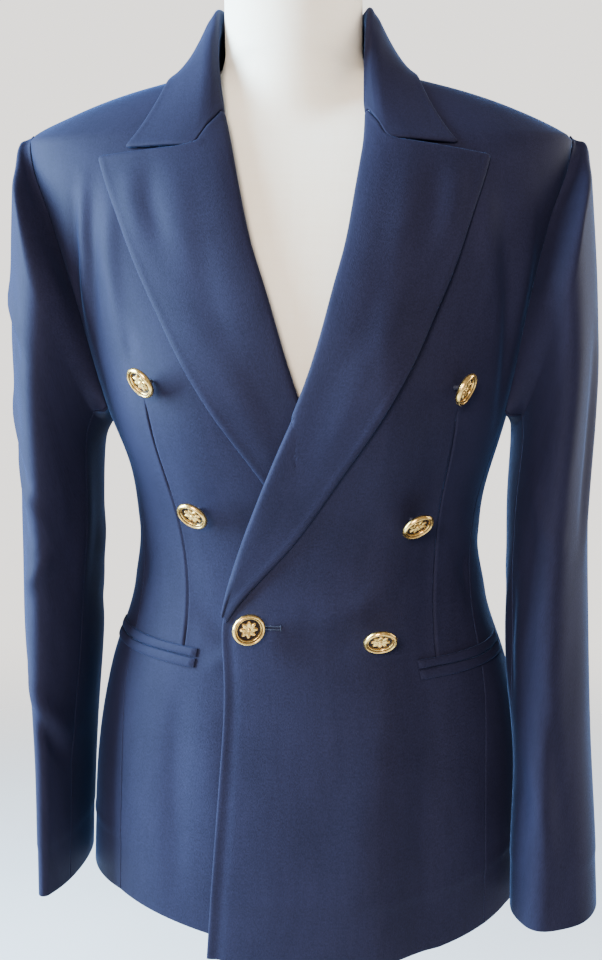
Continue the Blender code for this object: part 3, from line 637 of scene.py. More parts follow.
# %% Tables of the body's folds
# width, height, then places: angle in degrees and height above the floor
FRONT_FOLDS = {-1: (
    (0.0062, -0.0028, (49.0, 1.342), (55.0, 1.290), (66.0, 1.230)),
    (0.0060, 0.0024, (46.0, 1.345), (51.0, 1.285), (60.0, 1.225)),
    (0.0062, -0.0027, (43.0, 1.345), (48.0, 1.285), (56.0, 1.225)),
    (0.0070, 0.0022, (38.0, 1.335), (42.0, 1.285), (45.0, 1.225)),
    (0.0055, -0.0014, (41.5, 1.232), (43.0, 1.205)),
    (0.0150, 0.0022, (18.0, 0.800), (20.0, 0.880), (25.0, 0.965)),
    (0.0100, -0.0018, (30.0, 0.790), (31.0, 0.870), (33.0, 0.960)),
    (0.0090, -0.0018, (8.0, 1.012), (22.0, 1.004), (34.0, 1.030)),
    (0.0070, 0.0016, (13.0, 1.000), (20.0, 0.990), (26.0, 0.978)),
    (0.0100, -0.0018, (56.0, 1.060), (66.0, 1.020), (74.0, 1.010)),
), 1: (
    (0.0080, 0.0022, (40.0, 1.332), (42.0, 1.300), (46.0, 1.262)),
    (0.0080, -0.0030, (44.0, 1.345), (49.0, 1.290), (57.0, 1.225), (64.0, 1.165)),
    (0.0080, 0.0018, (55.0, 1.330), (58.0, 1.275), (62.0, 1.230)),
    (0.0120, -0.0017, (-8.0, 1.010), (10.0, 1.000), (28.0, 1.030)),
    (0.0100, 0.0016, (2.0, 1.022), (16.0, 1.024), (30.0, 1.060)),
    (0.0160, 0.0019, (14.0, 0.800), (16.0, 0.870), (24.0, 0.960)),
    (0.0120, -0.0017, (30.0, 0.785), (31.0, 0.860), (36.0, 0.955)),
    (0.0100, -0.0017, (55.0, 1.062), (65.0, 1.030), (72.0, 1.020)),
)}
SIDE_FOLDS = (
    (0.0110, -0.0012, (70.0, 1.075), (90.0, 1.055), (112.0, 1.066)),
    (0.0120, 0.0010, (68.0, 1.045), (88.0, 1.028), (110.0, 1.036)),
    (0.0140, -0.0009, (78.0, 1.020), (80.0, 0.920), (82.0, 0.830)),
    (0.0090, -0.0010, (86.0, 1.150), (93.0, 1.110), (104.0, 1.085)),
)
BACK_FOLDS = (
    (0.0120, -0.0018, (116.0, 1.300), (122.0, 1.230), (130.0, 1.160)),
    (0.0130, 0.0015, (122.0, 1.310), (129.0, 1.235), (138.0, 1.170)),
    (0.0110, -0.0012, (132.0, 1.300), (139.0, 1.240), (146.0, 1.190)),
    (0.0130, -0.0014, (124.0, 1.075), (148.0, 1.058), (172.0, 1.066)),
    (0.0130, 0.0012, (128.0, 1.046), (150.0, 1.034), (174.0, 1.040)),
    (0.0180, -0.0012, (150.0, 1.000), (152.0, 0.900), (154.0, 0.810)),
    (0.0150, 0.0012, (136.0, 0.990), (137.0, 0.900), (138.0, 0.800)),
    (0.0160, 0.0010, (166.0, 1.410), (150.0, 1.385), (132.0, 1.360)),
)
HANG = 0.046              # the turned-up hem's height
print("folds on the body:", sum(map(len, (*FRONT_FOLDS.values(), SIDE_FOLDS, BACK_FOLDS))))


# %% Rows, ease and darts
# bells: place of the middle, width, height
DART_SIDES, DART_GROOVE = (0.0, 0.0045, 0.0005), (0.0, 0.0006, -0.0026)
FRONT_RIM, BEHIND_RIM = (0.0016, 0.0017, 0.0006), (0.0066, 0.0028, -0.0007)
PULL_ROUND, PULL_UP = (84.0, 17.0), (1.132, 0.026, -0.0050)      # below the right armhole
HEM_RIM = (HANG, 0.0035, 0.0005)
# the padded shoulders: angle and width, heights, rise of each
PAD_ROUND, PAD_HEIGHTS, PAD = (90.0, 16.0), (1.345, SHOULDER_TIP, 1.381, 1.402), {1: 0.0030, -1: 0.0055}


def rows_up(rows, top):
    """Shares of the height, spaced evenly along the cloth although the shoulder slopes."""
    z = np.linspace(0.78, top - 0.0004, 400)
    along = travelled(base(20.0, z)) + travelled(base(85.0, z))
    return np.interp(spaced(along[-1] / 2, rows)[0], along / along[-1], np.linspace(0, 1, 400))


def dart_groove(side, angle, z):
    """A dart's seam: a narrow groove between two slightly raised edges."""
    away, (top, low) = (angle - DART[side](z)) * DEGREE, DART_ENDS[side]
    return smooth(top, top - 0.02, z) * (z > low) * (bell(away, *DART_SIDES) + bell(away, *DART_GROOVE))


def padded(side, angle, z):
    """The shoulder's padded end stands a little up and in, more on the wearer's right."""
    share = bell(angle, *PAD_ROUND) * plateau(z, *PAD_HEIGHTS) * PAD[side]
    return share[..., None] * (-0.45, 0.0, 1.0)


def front_roll(side, away):
    """The turned-in cloth along the upper front's free edge: a low roll, and a faint hollow behind it."""
    return (side > 0) * (bell(away, *FRONT_RIM) + bell(away, *BEHIND_RIM))


def ease(side, angle, z):
    """Folds that fade out at each seam, and the faint step where the turned-up hem ends inside."""
    drawn_in = bell(angle, *PULL_ROUND) * bell(z, *PULL_UP) * (side < 0)
    above = z - HEM[side](angle)
    step = bell(above, *HEM_RIM) - 0.0004 * smooth(HANG, HANG - 0.006, above)
    first, last = front_end(z), back_start(z)
    rise = 0.0
    for table, low, high in ((FRONT_FOLDS[side], -999.0, first), (SIDE_FOLDS, first, last),
                             (BACK_FOLDS, last, 999.0)):
        away = np.minimum(angle - low, high - angle) * DEGREE
        rise = rise + folds(angle, z, table, DEGREE) * smooth(0.0, 0.012, away)
    return rise * (1 - smooth(NECK_HIGH - 0.03, NECK_HIGH, z)) + drawn_in + step


print("the turned-up hem ends", round(HANG * 1000), "mm up")


# %% A body panel
def panel(node, side, start, end, size, front=False, top=NECK_HIGH):
    """A piece of the body between two lines; side is 1 for the wearer's left and -1 for the right."""
    rows, columns = size
    hem, share = HEM[side], rows_up(rows, top)[:, None]
    z = hem(60.0) + (top - hem(60.0)) * share
    for _ in range(4):          # the angles follow from the heights, and the heights from the angles
        first, last = start(z[:, :1]), end(z[:, -1:])
        knots = [first, last]
        if front:
            knots.insert(1, np.clip(DART[side](z[:, :1]), first * 0.8 + last * 0.2, first * 0.2 + last * 0.8))
        parts = []
        for number, (a, b) in enumerate(zip(knots, knots[1:])):
            width = np.linalg.norm(base(b, z[:, :1]) - base(a, z[:, :1]), axis=-1)[:, 0] * 1.03
            width = np.maximum(width, 0.004)
            inset = (b - a) * SEAM / 2 / width[:, None]
            a, b = a + inset * (number == 0), b - inset * (number == len(knots) - 2)
            part = a + (b - a) * spaced(width, columns[number])
            parts.append(part[:, min(number, 1):])
        angle = np.concatenate(parts, axis=1)
        z = hem(angle) + (top - hem(angle)) * share
    out = ease(side, angle, z) + CLOTH / 2
    if front:
        out = out + LIFT[side](base(angle, z)[..., 0] - lean_at(z), z)
        out = out + dart_groove(side, angle, z) + front_roll(side, (angle - start(z)) * DEGREE)
    middle = coat(angle, z, out) + padded(side, angle, z)
    cloth(node, to_side(middle, side), normal(angle, z) * (side, 1, 1))


print("a panel's grid closes in on its four edges")

# %% Fronts, sides and backs
# rows, then columns, which for a front are those before and behind its dart
FRONT_GRID = {1: (190, (62, 34)), -1: (190, (52, 34))}
SIDE_GRID, BACK_GRID = (110, (50,)), (150, (64,))
for name, side in SIDES:
    panel("front_" + name, side, front_edge(side), front_end, FRONT_GRID[side], front=True)
for name, side in SIDES:
    panel("side_" + name, side, side_seam, back_seam, SIDE_GRID, top=ARMHOLE_LOW)
    panel("back_" + name, side, back_start, lambda z: z * 0 + 180.0, BACK_GRID)

# %% [markdown]
# ## Lapels
# A lapel is the front itself, folded back at the chest. The fold is a soft roll and not a crease,
# and the edge is two layers of cloth turned in and pressed. So each lapel begins inside the
# front's edge, rolls round it, and lies out over the chest, a little full in the middle. The roll
# is a smooth curve through four stations, and the rest is straight lines from the fold to the
# lapel's outer edge, which keeps the notch sharp.

# %% Tables of the lapels
# height on the fold, then the lapel's outer edge: distance from the centre, height
LAPEL = (
    (1.391, 0.1465, 1.3595), (1.368, 0.1398, 1.3400), (1.346, 0.1310, 1.3180),
    (1.322, 0.1215, 1.2940), (1.298, 0.1110, 1.2690), (1.272, 0.0985, 1.2430),
    (1.245, 0.0850, 1.2160), (1.216, 0.0690, 1.1880), (1.184, 0.0505, 1.1600),
    (1.150, 0.0290, 1.1290), (1.112, 0.0060, 1.0930), (1.076, -0.0175, 1.0610),
    (1.048, -0.0362, 1.0375), (1.034, -0.0450, 1.0255), (1.019, -0.0520, 1.0145),
)
NOTCH = (0.0704, 1.3645)       # the notch on the left is 2.5 mm higher, the one on the right as much lower
NOTCH_SHARE = 0.2              # its share of the way from the fold to the outer edge
# the fold round the front's edge: distance past it and rise, of its outer face and then its inner face
FOLD = ((0.0006, 0.0, 0.0006, CLOTH), (0.0026, 0.0004, 0.0011, CLOTH + 0.0001),
        (0.0040, 0.0028, 0.0016, CLOTH + 0.0010), (0.0020, 0.0053, 0.0007, CLOTH + 0.0020))
LAPEL_SHARES = (0.10, 0.20)    # first stations past the roll
ROLL_STEPS = np.concatenate([np.linspace(0, 2, 15), np.linspace(2, 4, 11)[1:-1]])
TURNED = 0.0026                # wall of a lapel or collar, which is two layers
CLEAR = 0.0004                 # space between a lapel or collar and what it lies on
CORNER = 0.0042                # radius of the corners
PUFF, PUFF_HEIGHTS = 0.0040, (1.16, 1.36)      # how full the fold gets, and between which heights
STAND_OFF = {1: 0.0044, -1: 0.0012}      # how far the outer edge stands off the chest
LAPEL_GRID, LAPEL_WIDTH = (150, 56), 0.085      # rows and columns, and a width to space the columns by
# width, height, then places: distance from the centre and height
LAPEL_FOLDS = (
    (0.0090, 0.0014, (0.120, 1.350), (0.118, 1.325), (0.108, 1.290)),
    (0.0080, -0.0013, (0.104, 1.352), (0.101, 1.320), (0.090, 1.285)),
    (0.0110, 0.0012, (0.085, 1.350), (0.080, 1.310), (0.066, 1.260)),
    (0.0120, -0.0012, (0.070, 1.300), (0.058, 1.250), (0.040, 1.200)),
    (0.0110, 0.0010, (0.055, 1.225), (0.036, 1.180), (0.012, 1.130)),
)
lapel_at = spline(LAPEL)
print("the lapel is", round((LAPEL[0][1] - 0.05) * 1000), "mm wide at the top")


# %% Lines of a lapel
def lapel_lines(side, level, share, tip):
    """Distance from the centre and height, from the fold to the outer edge, with the notch at the top."""
    level, fold = level[:, None], fold_at(side, level)[:, None]
    far_x, far_z = np.moveaxis(lapel_at(level), -1, 0) if tip is None else tip
    row = np.interp(-level, [-row[0] for row in LAPEL], np.arange(len(LAPEL)))
    x, z = fold + (far_x - fold) * share, level + (far_z - level) * share
    kink = np.interp(share, (0, NOTCH_SHARE, 1), (0, 1, 0)) * (1 - smooth(0, 2.2, row))
    x = x + kink * (NOTCH[0] - (fold + (far_x - fold) * NOTCH_SHARE))
    z = z + kink * (NOTCH[1] + 0.0025 * side - (level + (far_z - level) * NOTCH_SHARE))
    gorge = np.sin(np.pi * np.clip(share / NOTCH_SHARE, 0, 1)) * (1 - smooth(0, 1.6, row))
    return x, z + gorge * 0.0010


def lapel_end(level):
    """Falls from 1 towards the low end, where the lapel thins into the front's edge."""
    return 0.42 + 0.58 * smooth(LAPEL[-1][0], LAPEL[-1][0] + 0.030, level)


def roll_shape(side, level):
    """Distance from the centre and rise of the roll's first four stations, round the front's edge."""
    puff = (PUFF * smooth(*PUFF_HEIGHTS, level) + 0.0002)[:, None]
    fold, thin = fold_at(side, level)[:, None], lapel_end(level)[:, None]
    narrow = np.clip((lapel_at(level)[:, :1] - fold) / 0.012, 0.2, 1.0)
    past_high, rise_high, past_low, rise_low = np.array(FOLD).T
    x = fold - (past_high - puff * 0.4 * (rise_high > 0.001) + past_low * (0.6 + 0.4 * narrow)) / 2 * thin
    flat = CLOTH + CLEAR + TURNED / 2 * thin
    rise = (rise_high + rise_low + puff * 0.3 * (rise_high > 0.003)) / 2
    return x, np.where(rise > flat, flat + (rise - flat) * thin, rise), puff


print("the roll has", len(FOLD), "stations")


# %% Turning back
def turn_back(side, level, share, tip=None):
    """Rows of cloth that roll round the front's edge and lie out over the chest."""
    x_roll, out_roll, puff = roll_shape(side, level)
    fold, thin = fold_at(side, level)[:, None], lapel_end(level)[:, None]
    stands = (STAND_OFF[side] * np.sin(np.pi * smooth(1.405, 1.09, level)))[:, None]

    def rise(s):
        full = 0.0014 * (1 - s)**2 * (2 * thin - 1) + puff * np.sin(np.pi * s**0.6)
        return CLOTH + CLEAR + full + stands * s * s + TURNED / 2 * thin

    def rolled(roll, past):
        """A smooth curve through the stations of the roll and two of the lapel."""
        stations = np.column_stack([np.arange(6.0), np.concatenate([roll, past], axis=1).T])
        return spline(stations)(ROLL_STEPS).T.reshape(len(level), -1)

    two, share = np.array([LAPEL_SHARES]), share[None, :]
    two_x, two_z = lapel_lines(side, level, two, tip)
    x, z = lapel_lines(side, level, share, tip)
    roll_z = level[:, None] + (two_z[:, :1] - level[:, None]) * np.clip(ROLL_STEPS - 3, 0, 1)
    out = np.concatenate([rolled(out_roll, rise(two)), rise(share)], axis=1)
    x, z = np.concatenate([rolled(x_roll, two_x), x], axis=1), np.concatenate([roll_z, z], axis=1)
    out = out + LIFT[side](np.maximum(x, fold), z) + folds(x, z, LAPEL_FOLDS) * smooth(fold, fold + 0.03, x)
    return to_side(coat(angle_of(x, z), z, out), side)


print("a row has", len(ROLL_STEPS), "points round the roll")


# %% The two lapels
def outward(middle):
    """The way out of rows of places."""
    return unit(np.cross(np.gradient(middle, axis=1), np.gradient(middle, axis=0)))


def round_corner(middle, step):
    """Round the corner between the last column and the first row, or the last one where step is -1."""
    rows = middle[::step]
    a, b = (1 - np.minimum(np.linalg.norm(rows - edge, axis=-1) / CORNER, 1)
            for edge in (rows[:, -1:], rows[:1]))
    shift = (a - a * np.sqrt(1 - b * b / 2))[..., None] * unit(rows[0, -4] - rows[0, -1])
    shift = shift + (b - b * np.sqrt(1 - a * a / 2))[..., None] * unit(rows[4, -1] - rows[0, -1])
    return middle + shift[::step] * CORNER


def past_roll(length, count):
    """Shares from the roll to the outer edge, close near that edge."""
    first = LAPEL_SHARES[0]
    return np.concatenate([[first], first + (1 - first) * spaced(length, count)[0][len(EDGE):]])


for name, side in SIDES:
    top, low = LAPEL[0][0] - 0.0004, LAPEL[-1][0]
    level = top + (low - top) * spaced((top - low) * 1.1, LAPEL_GRID[0])[0]
    middle = round_corner(turn_back(side, level, past_roll(LAPEL_WIDTH, LAPEL_GRID[1])), 1)
    cloth("lapel_" + name, middle, outward(middle), wall=TURNED * lapel_end(level)[:, None],
          edge=TURNED * 0.7, ridge=0.00026)

# %% [markdown]
# ## Collar
# The collar is one strip round the neck. Its inner part, the stand, rises from the neck seam; its
# outer part, the fall, turns over and lies down to the shoulders, and its ends meet the lapels at
# the notches. Each line across it is worked out from the seam, over the fold, to the outer edge,
# and the lines are set side by side from one notch round the back to the other.

# %% Tables of the collar
# share of the way from the centre back to the front end: fold (x, y, z)
COLLAR_FOLD = (
    (0.00, 0.0000, 0.0735, 1.4740), (0.18, 0.0290, 0.0675, 1.4760), (0.34, 0.0490, 0.0470, 1.4810),
    (0.46, 0.0575, 0.0200, 1.4840), (0.58, 0.0582, -0.0030, 1.4700), (0.72, 0.0570, -0.0225, 1.4430),
    (0.86, 0.0535, -0.0370, 1.4150), (1.00, 0.0496, -0.0476, 1.3940),
)
# the same shares: outer edge of the fall in plan (x, y)
COLLAR_EDGE = (
    (0.00, 0.0000, 0.0930), (0.18, 0.0460, 0.0870), (0.34, 0.0780, 0.0610), (0.46, 0.0917, 0.0315),
    (0.58, 0.0950, 0.0060), (0.72, 0.0970, -0.0150), (0.86, 0.1052, -0.0365), (0.93, 0.1140, -0.0450),
    (1.00, 0.1246, -0.0490),
)
# the same shares: height of the neck seam, which follows the fronts' edges, then the back's neck
COLLAR_SEAM = ((0.00, 1.4345), (0.46, 1.4345), (0.58, 1.4320), (0.72, 1.4180), (0.86, 1.4030), (1.00, 1.3890))
# the back's part of the seam in plan (x, y)
COLLAR_NAPE = (
    (0.00, 0.0000, 0.0742), (0.18, 0.0300, 0.0687), (0.34, 0.0515, 0.0480), (0.46, 0.0612, 0.0200),
    (0.60, 0.0615, 0.0000),
)
fold_line, edge_line = spline(COLLAR_FOLD), spline(COLLAR_EDGE)
seam_line, nape_line = line(COLLAR_SEAM), spline(COLLAR_NAPE)
print("the collar's fold is", round((COLLAR_FOLD[3][3] - NECK_HIGH) * 1000), "mm above the neck seam")


# %% The shoulders under the collar
def inside(x, y, z):
    """Below 1 inside the coat's section at a height."""
    n = square_at(z)
    front, back, middle = np.moveaxis(depth_at(z), -1, 0)
    away = y - middle
    return (np.abs(x) / half_width(z))**n + (np.abs(away) / np.where(away < 0, front, back))**n


def shoulder_top(x, y):
    """Height and upward direction of the coat's shoulders over places in plan."""
    low, high = np.full(x.shape, 1.25), np.full(x.shape, NECK_HIGH)
    for _ in range(30):
        middle = (low + high) / 2
        under = inside(x, y, middle) < 1
        low, high = np.where(under, middle, low), np.where(under, high, middle)
    z = np.minimum(low, NECK_HIGH - 0.002)
    slope = [inside(x + a, y + b, z + c) - inside(x - a, y - b, z - c) for a, b, c in np.eye(3) * 0.0005]
    return low, unit(np.stack(slope, -1))


print("the shoulder under the collar is", shoulder_top(np.array([0.1]), np.array([0.0]))[0], "m high")


# %% One line across the collar
COLLAR_LENGTH, COLLAR_WIDTH, COLLAR_GRID = 0.46, 0.06, (130, 34)
COLLAR_TIP = (0.1240, 1.3662)          # the collar's outer corner: distance from the centre, height
FRONT_INSET = 0.0019                   # how far inside the front's edge the neck seam runs
FALL_SHARES = past_roll(COLLAR_WIDTH, COLLAR_GRID[1])


def through(points, count, upto=None):
    """Points along a smooth curve through a few others; with upto, closing in on that one and past it."""
    steps = travelled(points)
    wanted = np.linspace(0, steps[-1], count)
    if upto is not None:
        closing = 1 - (1 - np.linspace(0, 1, count))**2
        wanted = np.concatenate([steps[upto] * closing, np.linspace(steps[upto], steps[-1], 11)[1:-1]])
    return spline(np.column_stack([steps, points]))(wanted)


def collar_line(share):
    """From the neck seam over the fold to the outer edge."""
    s, side = abs(share), math.copysign(1, share)
    fx, fy, fz = fold_line(s)
    fx = fx + 0.0035 * smooth(0.70, 1.0, s) * (side > 0)
    ex, ey = edge_line(s)
    sz, (sx, sy) = float(seam_line(s)), nape_line(min(s, 0.60))
    # the neck seam leaves the nape and follows the edge of the front
    front, on_front = smooth(0.50, 0.62, s), fold_at(side, sz) - FRONT_INSET
    sx = sx + (on_front - sx) * front
    sy = sy + (base(angle_of(on_front, sz), sz)[1] + 0.0002 - sy) * front
    x, y = fx + (ex - fx) * FALL_SHARES, fy + (ey - fy) * FALL_SHARES
    height, up = shoulder_top(x, y)
    stand = fz - shoulder_top(np.array([fx]), np.array([fy]))[0][0]
    near_fold = smooth(0.002, 0.012, stand) * (1 - smooth(-0.15, 0.25, FALL_SHARES))
    clear = (CLOTH + CLEAR + TURNED / 2 + 0.0016 * (1 - FALL_SHARES)) * (1 - near_fold)
    fall = np.stack([x, y, height + stand * (1 - FALL_SHARES)**1.35], -1) + up * clear[:, None]
    fold, seam = np.array([fx, fy, fz]), np.array([sx, sy, sz + 0.0014])
    below = fold - (0, 0, min(0.004, max(fz - sz, 0.003) * 0.3))
    past = fold + unit(np.array([ex - fx, ey - fy, 0.0])) * 0.0024
    turn = through(np.array([seam, (seam + fold) / 2, below, past, fall[0]]), 15, upto=3)
    made = np.concatenate([turn, fall])
    made[:, 0] = made[:, 0] * side + lean_at(made[:, 2])
    return made


print("a line across the collar has", len(collar_line(0.5)), "points")


# %% The collar
def collar():
    """Lines across, which near the front end become the roll and edge of the lapel's own top."""
    top, ends = np.array([LAPEL[0][0] + 0.0004, LAPEL[0][0] + 0.0003]), {}
    for side in (1, -1):
        tip = COLLAR_TIP[0] - 0.0010 * side, COLLAR_TIP[1] + 0.0010 * side
        ends[side] = turn_back(side, top, FALL_SHARES, tip)[0]
    middle = []
    for share in 2 * spaced(COLLAR_LENGTH, COLLAR_GRID[0])[0] - 1:
        last = smooth(0.74, 1.0, abs(share))
        middle.append(collar_line(share) * (1 - last) + ends[math.copysign(1, share)] * last)
    middle = round_corner(round_corner(np.array(middle), 1), -1)
    cloth("collar", middle, outward(middle), wall=TURNED, edge=TURNED * 0.7, ridge=0.00022)


collar()

# %% [markdown]
# ## Sleeves
# A tailored sleeve is two pieces, an upper one that shows and a narrow under one inside. The
# head is larger than the armhole and is eased into it, which gives the full, rounded shoulder.
# Here a ring of places on the armhole grows into a ring of the tube along curved paths, and below
# that the tube is a row of ellipses that bend forward at the elbow.

# %% Tables of the sleeves
# height, centre across, centre fore and aft, half width, half depth, turn in degrees, rise of the
# outer side
SLEEVE = {1: (
    (1.252, 0.1970, 0.002, 0.0302, 0.0760, 0.0, 0.100),
    (1.190, 0.1980, -0.002, 0.0320, 0.0745, 0.0, 0.055),
    (1.120, 0.1937, -0.008, 0.0310, 0.0700, 2.0, 0.025),
    (1.040, 0.1930, -0.018, 0.0308, 0.0650, 6.0, 0.010),
    (0.970, 0.1940, -0.033, 0.0310, 0.0590, 10.0, 0.005),
    (0.900, 0.1970, -0.054, 0.0285, 0.0525, 17.0, 0.002),
    (0.840, 0.1970, -0.071, 0.0305, 0.0480, 22.0, 0.000),
    (0.790, 0.1975, -0.081, 0.0315, 0.0450, 25.0, 0.000),
), -1: (
    (1.252, 0.1957, 0.002, 0.0290, 0.0760, 0.0, 0.100),
    (1.190, 0.2030, -0.002, 0.0298, 0.0745, 0.0, 0.055),
    (1.120, 0.2042, -0.006, 0.0285, 0.0700, 0.0, 0.025),
    (1.040, 0.2036, -0.012, 0.0270, 0.0650, -2.0, 0.010),
    (0.970, 0.2025, -0.020, 0.0245, 0.0620, -4.0, 0.005),
    (0.900, 0.1998, -0.030, 0.0160, 0.0580, -5.0, 0.002),
    (0.840, 0.1992, -0.038, 0.0140, 0.0540, -5.0, 0.000),
    (0.786, 0.1990, -0.043, 0.0130, 0.0520, -5.0, 0.000),
)}
# name, shares of the way round at which it begins and ends (0 is outside), rows and columns
SLEEVE_PARTS = (("upper", (-0.21, 0.42), (150, 90)), ("under", (0.42, 0.79), (140, 54)))
GIRTH = 0.33              # metres of cloth round the sleeve
# width, height, then places: share of the way round and height above the floor
SLEEVE_FOLDS = {-1: (
    (0.0080, -0.0035, (0.080, 1.268), (0.130, 1.245), (0.200, 1.222)),
    (0.0075, 0.0027, (0.090, 1.245), (0.150, 1.225), (0.210, 1.205)),
    (0.0080, -0.0035, (0.070, 1.185), (0.120, 1.160), (0.200, 1.120)),
    (0.0080, 0.0031, (0.090, 1.160), (0.160, 1.130), (0.230, 1.100)),
    (0.0075, -0.0031, (0.100, 1.138), (0.180, 1.110), (0.280, 1.080)),
    (0.0090, 0.0023, (0.090, 1.110), (0.170, 1.080), (0.250, 1.060)),
    (0.0090, -0.0027, (0.300, 1.060), (0.240, 1.040), (0.160, 1.030)),
    (0.0100, -0.0031, (0.180, 0.962), (0.280, 0.935), (0.420, 0.905)),
    (0.0090, 0.0027, (0.200, 0.940), (0.300, 0.915), (0.420, 0.885)),
    (0.0120, -0.0030, (0.420, 1.150), (0.430, 1.080), (0.410, 1.010)),
    (0.0140, 0.0016, (-0.150, 1.200), (-0.130, 1.110), (-0.160, 1.030)),
    (0.0110, -0.0016, (-0.060, 1.030), (-0.140, 1.000), (-0.220, 0.990)),
    (0.0110, 0.0014, (-0.050, 1.005), (-0.130, 0.972), (-0.210, 0.960)),
    (0.0120, -0.0014, (0.660, 1.080), (0.560, 1.050), (0.470, 1.060)),
    (0.0120, 0.0012, (0.700, 1.020), (0.600, 1.000), (0.500, 1.015)),
), 1: (
    (0.0070, -0.0025, (0.085, 1.240), (0.070, 1.150), (0.090, 1.060)),
    (0.0070, 0.0019, (0.120, 1.230), (0.105, 1.140), (0.120, 1.070)),
    (0.0080, -0.0013, (0.440, 1.060), (0.460, 1.000), (0.450, 0.935)),
    (0.0080, 0.0022, (0.400, 1.040), (0.415, 0.990), (0.400, 0.950)),
    (0.0100, -0.0020, (0.350, 1.120), (0.280, 1.080), (0.200, 1.070)),
    (0.0120, 0.0020, (0.300, 0.980), (0.220, 0.930), (0.160, 0.860)),
    (0.0110, -0.0020, (0.340, 0.930), (0.260, 0.890), (0.210, 0.840)),
    (0.0140, 0.0013, (-0.140, 1.210), (-0.120, 1.120), (-0.150, 1.040)),
    (0.0110, -0.0013, (-0.050, 1.010), (-0.140, 0.985), (-0.220, 0.975)),
    (0.0110, 0.0011, (-0.040, 0.985), (-0.130, 0.955), (-0.210, 0.945)),
    (0.0120, -0.0011, (0.680, 1.060), (0.580, 1.035), (0.480, 1.045)),
    (0.0120, 0.0010, (0.700, 1.000), (0.600, 0.985), (0.500, 0.995)),
)}
print("the sleeve head is", round((SHOULDER_TIP - ARMHOLE_LOW) * 1000), "mm deep")


# %% The armhole and the tube
def armhole_ring(turns):
    """Angles and heights round the armhole: 0 at the shoulder, a quarter in front, a half below."""
    down = SHOULDER_TIP + (ARMHOLE_LOW - SHOULDER_TIP) * np.linspace(0, 1, 60)**0.9
    front, back = (np.stack([armhole_at(down)[:, i], down], -1) for i in (0, 1))
    (low_front, low_back), under = ARMHOLE[0][1:], np.linspace(0, 1, 16)[1:-1]
    bottom = np.stack([low_front + (low_back - low_front) * under, np.full(14, ARMHOLE_LOW)], -1)
    loop = np.concatenate([front, bottom, back[::-1]])
    length = travelled(base(*loop.T))
    return [np.interp(turns * length[-1], length, column) for column in loop.T]


def tube_ring(phase, level, at):
    """Places round the tube at a height, raised on the outer side."""
    across, fore, wide, deep, turn, rise = np.moveaxis(at(level), -1, 0)
    turn = np.radians(turn)
    u, v, z = wide * np.cos(phase), -deep * np.sin(phase), level + rise * np.cos(phase)
    x = across + u * np.cos(turn) + v * np.sin(turn)
    return np.stack([x + lean_at(z), fore + v * np.cos(turn) - u * np.sin(turn), z], -1)


def sleeve_surface(side, turns, head, tube):
    """The sleeve's middle surface: rows from the armhole to the cuff, a column for each turn."""
    at, phase = spline(SLEEVE[side]), turns * math.tau
    top, cuff = SLEEVE[side][0][0], SLEEVE[side][-1][0]
    angle, z = armhole_ring(turns % 1.0)
    seat = coat(90.0 + (angle - 90.0) * 1.030, 1.27 + (z - 1.27) * 1.012, CLOTH + 0.00035)
    seat = seat + padded(side, angle, z)
    # cloth leaves the seam outwards on the shoulder, forwards in front and backwards behind
    fore, low = np.sin(phase), np.clip(-np.cos(phase), 0, 1)
    way = np.stack([0.6 * (1 - np.abs(fore)) * (1 - low), -fore, -0.9 * low], -1)
    way = unit(normal(angle, z) * (0.6 - 0.45 * low)[:, None] + way)
    first = tube_ring(phase, top, at)
    downward = unit(tube_ring(phase, top - 0.01, at) - first)
    reach = np.linalg.norm(first - seat, axis=-1, keepdims=True)
    leaving, arriving = seat + way * reach * 0.50, first - downward * reach * 0.46
    t = head[:, None, None]
    rows = (1 - t)**3 * seat + 3 * t * (1 - t)**2 * leaving + 3 * t * t * (1 - t) * arriving + t**3 * first
    return np.concatenate([rows, tube_ring(phase[None, :], (top + (cuff - top) * tube)[:, None], at)])


print("the armhole is", round(travelled(base(*armhole_ring(np.linspace(0, 1, 200))))[-1] * 1000), "mm round")


# %% The two pieces of a sleeve
CUFF_HANG = 0.038         # the turned-up cuff's height
HEAD = 0.12               # length of the head's rows
FULL = {1: 0.0030, -1: 0.0022}      # how full each sleeve's head is
# bells round the sleeve and along it: place of the middle, width, height
BLUNT, FLATTER = (0.14, 0.05, 0.0016), (0.25, 0.05, -0.0034)
FULL_ALONG, FULL_ROUND = (0.018, 0.020), (0.5, 0.13)


def sleeve_rise(side, turns, level, from_seam):
    """Folds, the turned-up cuff, a front blunter than an ellipse, and ease along the armhole."""
    rise = folds(turns[None, :], level, SLEEVE_FOLDS[side], GIRTH) * smooth(0.0, 0.012, from_seam)
    rise = rise + 0.0006 * smooth(CUFF_HANG + 0.004, CUFF_HANG - 0.002, level - SLEEVE[side][-1][0])
    blunt = (bell(turns, *BLUNT) + bell(turns, *FLATTER)) * smooth(0.0, 0.06, from_seam)
    full = smooth(0.0, 0.008, from_seam) * bell(from_seam, *FULL_ALONG) * bell((turns + 0.5) % 1.0, *FULL_ROUND)
    return rise + blunt + full * (FULL[side] + 0.0005 * np.sin(turns * math.tau * 11))


